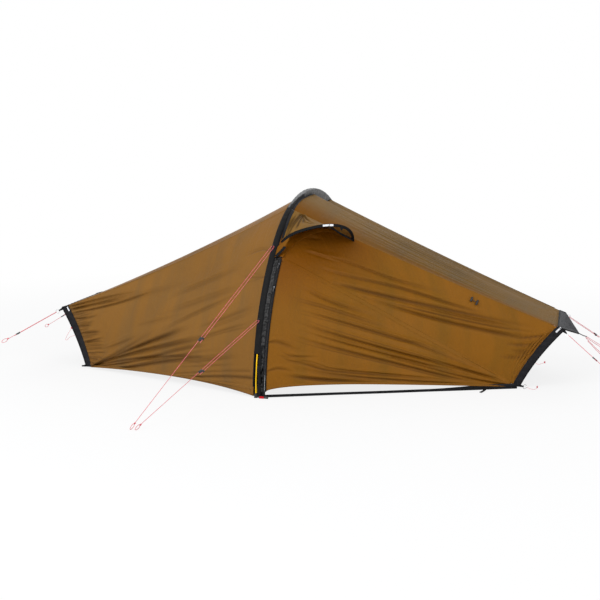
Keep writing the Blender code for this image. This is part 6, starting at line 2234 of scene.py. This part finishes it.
@dataclass
class InnerTent:
    """The inner tent; its pieces keep the form of their solids, refined and wrinkled."""

    wrinkle: float = 2.2 * MM
    longest_edge: float = 0.03

    def pucker(self, form: bmesh.types.BMesh, wrinkle: float) -> None:
        """Moves the points of a form by smooth noise, and less beside the ground."""
        for v in form.verts:
            push = Vector([noise.noise(v.co * 9 + Vector(shift))
                           for shift in ((0, 0, 0), (31, 7, 3), (5, 19, 41))])
            v.co += push * wrinkle * clamp((v.co.z - 0.004) * 60)

    def refined(self, node: str, name: str, finish: Finish, slot: str, cuts: int, wrinkle: float,
                body: str = "tent") -> Piece:
        """Copies a solid, merges and divides its faces and lets its cloth pucker.

        Args:
            node: The solid to be copied and hidden.
            name: Name of the new piece.
            finish: What it is made of.
            slot: The record's material slot.
            cuts: How often its faces are divided.
            wrinkle: Height of the puckers.
            body: The body that carries it.

        Returns:
            The new piece.
        """
        form = bmesh.new()
        form.from_mesh(FRAME["nodes"][node].data)
        bmesh.ops.remove_doubles(form, verts=form.verts, dist=1e-5)
        for _ in range(cuts):
            long = [e for e in form.edges if e.calc_length() > self.longest_edge]
            if not long:
                break
            bmesh.ops.subdivide_edges(form, edges=long, cuts=1, use_grid_fill=True)
            bmesh.ops.triangulate(form, faces=[f for f in form.faces if len(f.verts) > 3])
        self.pucker(form, wrinkle)
        bmesh.ops.recalc_face_normals(form, faces=form.faces)
        layer = form.loops.layers.uv.new("cloth")
        for face in form.faces:
            face.smooth = True
            flat = max(range(3), key=lambda k: abs(face.normal[k]))
            for loop in face.loops:
                loop[layer].uv = [loop.vert.co[k] for k in range(3) if k != flat]
        mesh = bpy.data.meshes.new(name)
        form.to_mesh(mesh)
        form.free()
        mesh.set_sharp_from_angle(angle=math.radians(50))
        mesh.materials.append(finish.material())
        return place_piece(add_object(name, mesh), slot, body, [node])

    def build(self) -> None:
        """Builds the groundsheet, canopy, walls, door and hanging tape."""
        floor = self.refined("inner_floor", "groundsheet", FLOOR_CLOTH, "grey_nylon", 6, 0.0)
        canopy = self.refined("inner_canopy", "inner_roof", INNER, "cream_nylon", 4, self.wrinkle)
        walls = self.refined("inner_walls", "inner_side_walls", INNER, "cream_nylon", 4, self.wrinkle)
        door = self.refined("inner_door", "inner_doorway", INNER, "cream_nylon", 4, 1.2 * MM, "inner_door")
        self.refined("inner_hanger_tape", "hanger_tape", STRAP, "black_webbing", 2, 0.0)


@dataclass
class Fasteners:
    """Finishes of the rigid solids, which stay as they are."""

    bevel: float = 0.5 * MM
    finishes: tuple[tuple[str, Finish], ...] = (
        ("_cup", PLASTIC), ("_buckle", PLASTIC), ("_runner", PLASTIC), ("_pull", PLASTIC),
        ("_toggle", PLASTIC), ("_ring", WIRE_STEEL), ("_slider", DARK_STEEL))

    def dress(self) -> None:
        """Gives every rigid solid that shows its material and its soft edges."""
        chosen = {"pole": GOLD_TUBE}
        for name in FRAME["nodes"]:
            chosen.update({name: finish for ending, finish in self.finishes if name.endswith(ending)})
        for name, finish in chosen.items():
            node = FRAME["nodes"][name]
            for spot in node.material_slots:
                spot.material = finish.material()
            if not node.material_slots:
                node.data.materials.append(finish.material())
            node.data.polygons.foreach_set("use_smooth", np.ones(len(node.data.polygons), bool))
            node.modifiers.new("weld", "WELD").merge_threshold = 1e-5
            if name.endswith(("_buckle", "_runner", "_pull", "_slider")):
                edge = node.modifiers.new("edges", "BEVEL")
                edge.width, edge.segments, edge.limit_method = self.bevel, 2, "ANGLE"
                edge.angle_limit = math.radians(30)
                edge.use_clamp_overlap = edge.harden_normals = True
            else:
                node.modifiers.new("edges", "EDGE_SPLIT").split_angle = math.radians(35)
            LOG.info("%s keeps its solid", name)


@dataclass
class ShockCord:
    """The covered elastic cord inside the pole, which shows when the sections come apart."""

    radius: float = 0.0012
    end: float = 0.014

    def build(self) -> None:
        """Builds the cord along the pole's line."""
        lengths = [self.end, *steps(HOOP.segments, 0, HOOP.length)[1:-1], HOOP.length - self.end]
        tube("elastic_cord", [HOOP.line(v) for v in lengths], self.radius, DARK_CORD, 8,
             slot="black_cord", nodes=["shock_cord"])


def seen_directly(node: NodeMaker) -> Socket:
    """Returns 1 for rays of the camera and of reflections, which see the white backdrop."""
    rays = node("LightPath").node.outputs
    first = node("Math", {0: rays["Is Camera Ray"], 1: rays["Is Glossy Ray"]}, operation="MAXIMUM")
    return node("Math", {0: first, 1: rays["Is Transmission Ray"]}, operation="MAXIMUM")


@dataclass(frozen=True)
class FloorPaint(Finish):
    """Matt white floor of the studio.

    The eye gets a white ground with the tent's soft shadow, which fades into the backdrop.
    """

    def surface(self, node: NodeMaker) -> Socket:
        """Builds the shader and returns its output."""
        shade = node("BsdfDiffuse", {"Color": srgb("#F0F0F0")})
        glow = node("Emission", {"Color": (1, 1, 1, 1), "Strength": 1.0})
        away = node("VectorMath", {0: node("TexCoord", out="Object")}, "Value", operation="LENGTH")
        fade = node("MapRange", {0: away, 1: 2.0, 2: 4.6, 3: 0.82, 4: 1.0},
                    interpolation_type="SMOOTHSTEP")
        part = node("Math", {0: seen_directly(node), 1: fade}, operation="MULTIPLY")
        return node("MixShader", {0: part, 1: shade, 2: glow})


@dataclass
class Studio:
    """Camera at the photograph's viewing angle, pale floor and soft lamps."""

    place: tuple[float, float, float] = (1.434, -6.872, 1.481)
    pitch: float = math.radians(8.9)
    yaw: float = 0.214
    lens: float = 76.02
    world_light: float = 0.52
    floor_half: float = 40.0

    def build_camera(self) -> None:
        """Makes the camera."""
        data = bpy.data.cameras.new("camera")
        data.lens, data.sensor_width, data.clip_end = self.lens, 36.0, 100.0
        made = add_object("camera", data)
        made.location = self.place
        made.rotation_euler = (math.pi / 2 - self.pitch, 0, self.yaw)
        bpy.context.scene.camera = made

    def build_world(self) -> None:
        """Makes the white backdrop and the even light."""
        world = bpy.data.worlds.new("studio")
        bpy.context.scene.world = world
        world.use_nodes = True
        world.node_tree.nodes.clear()
        node = partial(add_node, world.node_tree)
        lit = node("Background", {"Color": srgb("#F4F6FA"), "Strength": self.world_light})
        seen = node("Background", {"Color": (1, 1, 1, 1), "Strength": 1.0})
        node("OutputWorld", {0: node("MixShader", {0: seen_directly(node), 1: lit, 2: seen})})

    def build_floor(self) -> None:
        """Makes the floor, which stays white to the eye and keeps the tent's shadow."""
        mesh = bpy.data.meshes.new("floor")
        corners = [(x * self.floor_half, y * self.floor_half, 0)
                   for x, y in ((-1, -1), (1, -1), (1, 1), (-1, 1))]
        mesh.from_pydata(corners, [], [(0, 1, 2, 3)])
        mesh.materials.append(FloorPaint("matt_white_floor").material())
        add_object("floor", mesh)

    def lamp(self, name: str, place: Vector, size: float, power: float) -> None:
        """Makes one soft square lamp that points at the tent."""
        data = bpy.data.lights.new(name, "AREA")
        data.size, data.energy = size, power
        made = add_object(name, data)
        made.location = place
        made.rotation_euler = (Vector((0, 0, 0.4)) - place).to_track_quat("-Z", "Y").to_euler()

    def build(self) -> None:
        """Makes lamps, backdrop and floor."""
        self.lamp("key", Vector((-2.6, -5.0, 4.2)), 5.0, 270)
        self.lamp("fill", Vector((4.5, -4.0, 3.0)), 3.5, 95)
        self.lamp("back", Vector((0.5, 5.0, 4.0)), 4.0, 100)
        self.build_world()
        self.build_floor()


FRAME: dict = {}


def main() -> None:
    """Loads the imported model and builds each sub-assembly in order."""
    logging.basicConfig(level=logging.INFO, format="%(message)s")
    FRAME.update(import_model())
    studio = Studio()
    studio.build_camera()
    cords = Lines()
    lines = cords.guy_lines()
    cords.build(lines)
    Skin().build()
    Sleeve().build(lines)
    Feet().build()
    Ends().build()
    ZipAndPlacket().build()
    Hood().build()
    GroundStrap().build()
    InnerTent().build()
    ShockCord().build()
    Fasteners().dress()
    studio.build()
    bpy.context.scene.view_settings.view_transform = "Standard"
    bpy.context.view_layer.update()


if __name__ == "__main__":
    main()
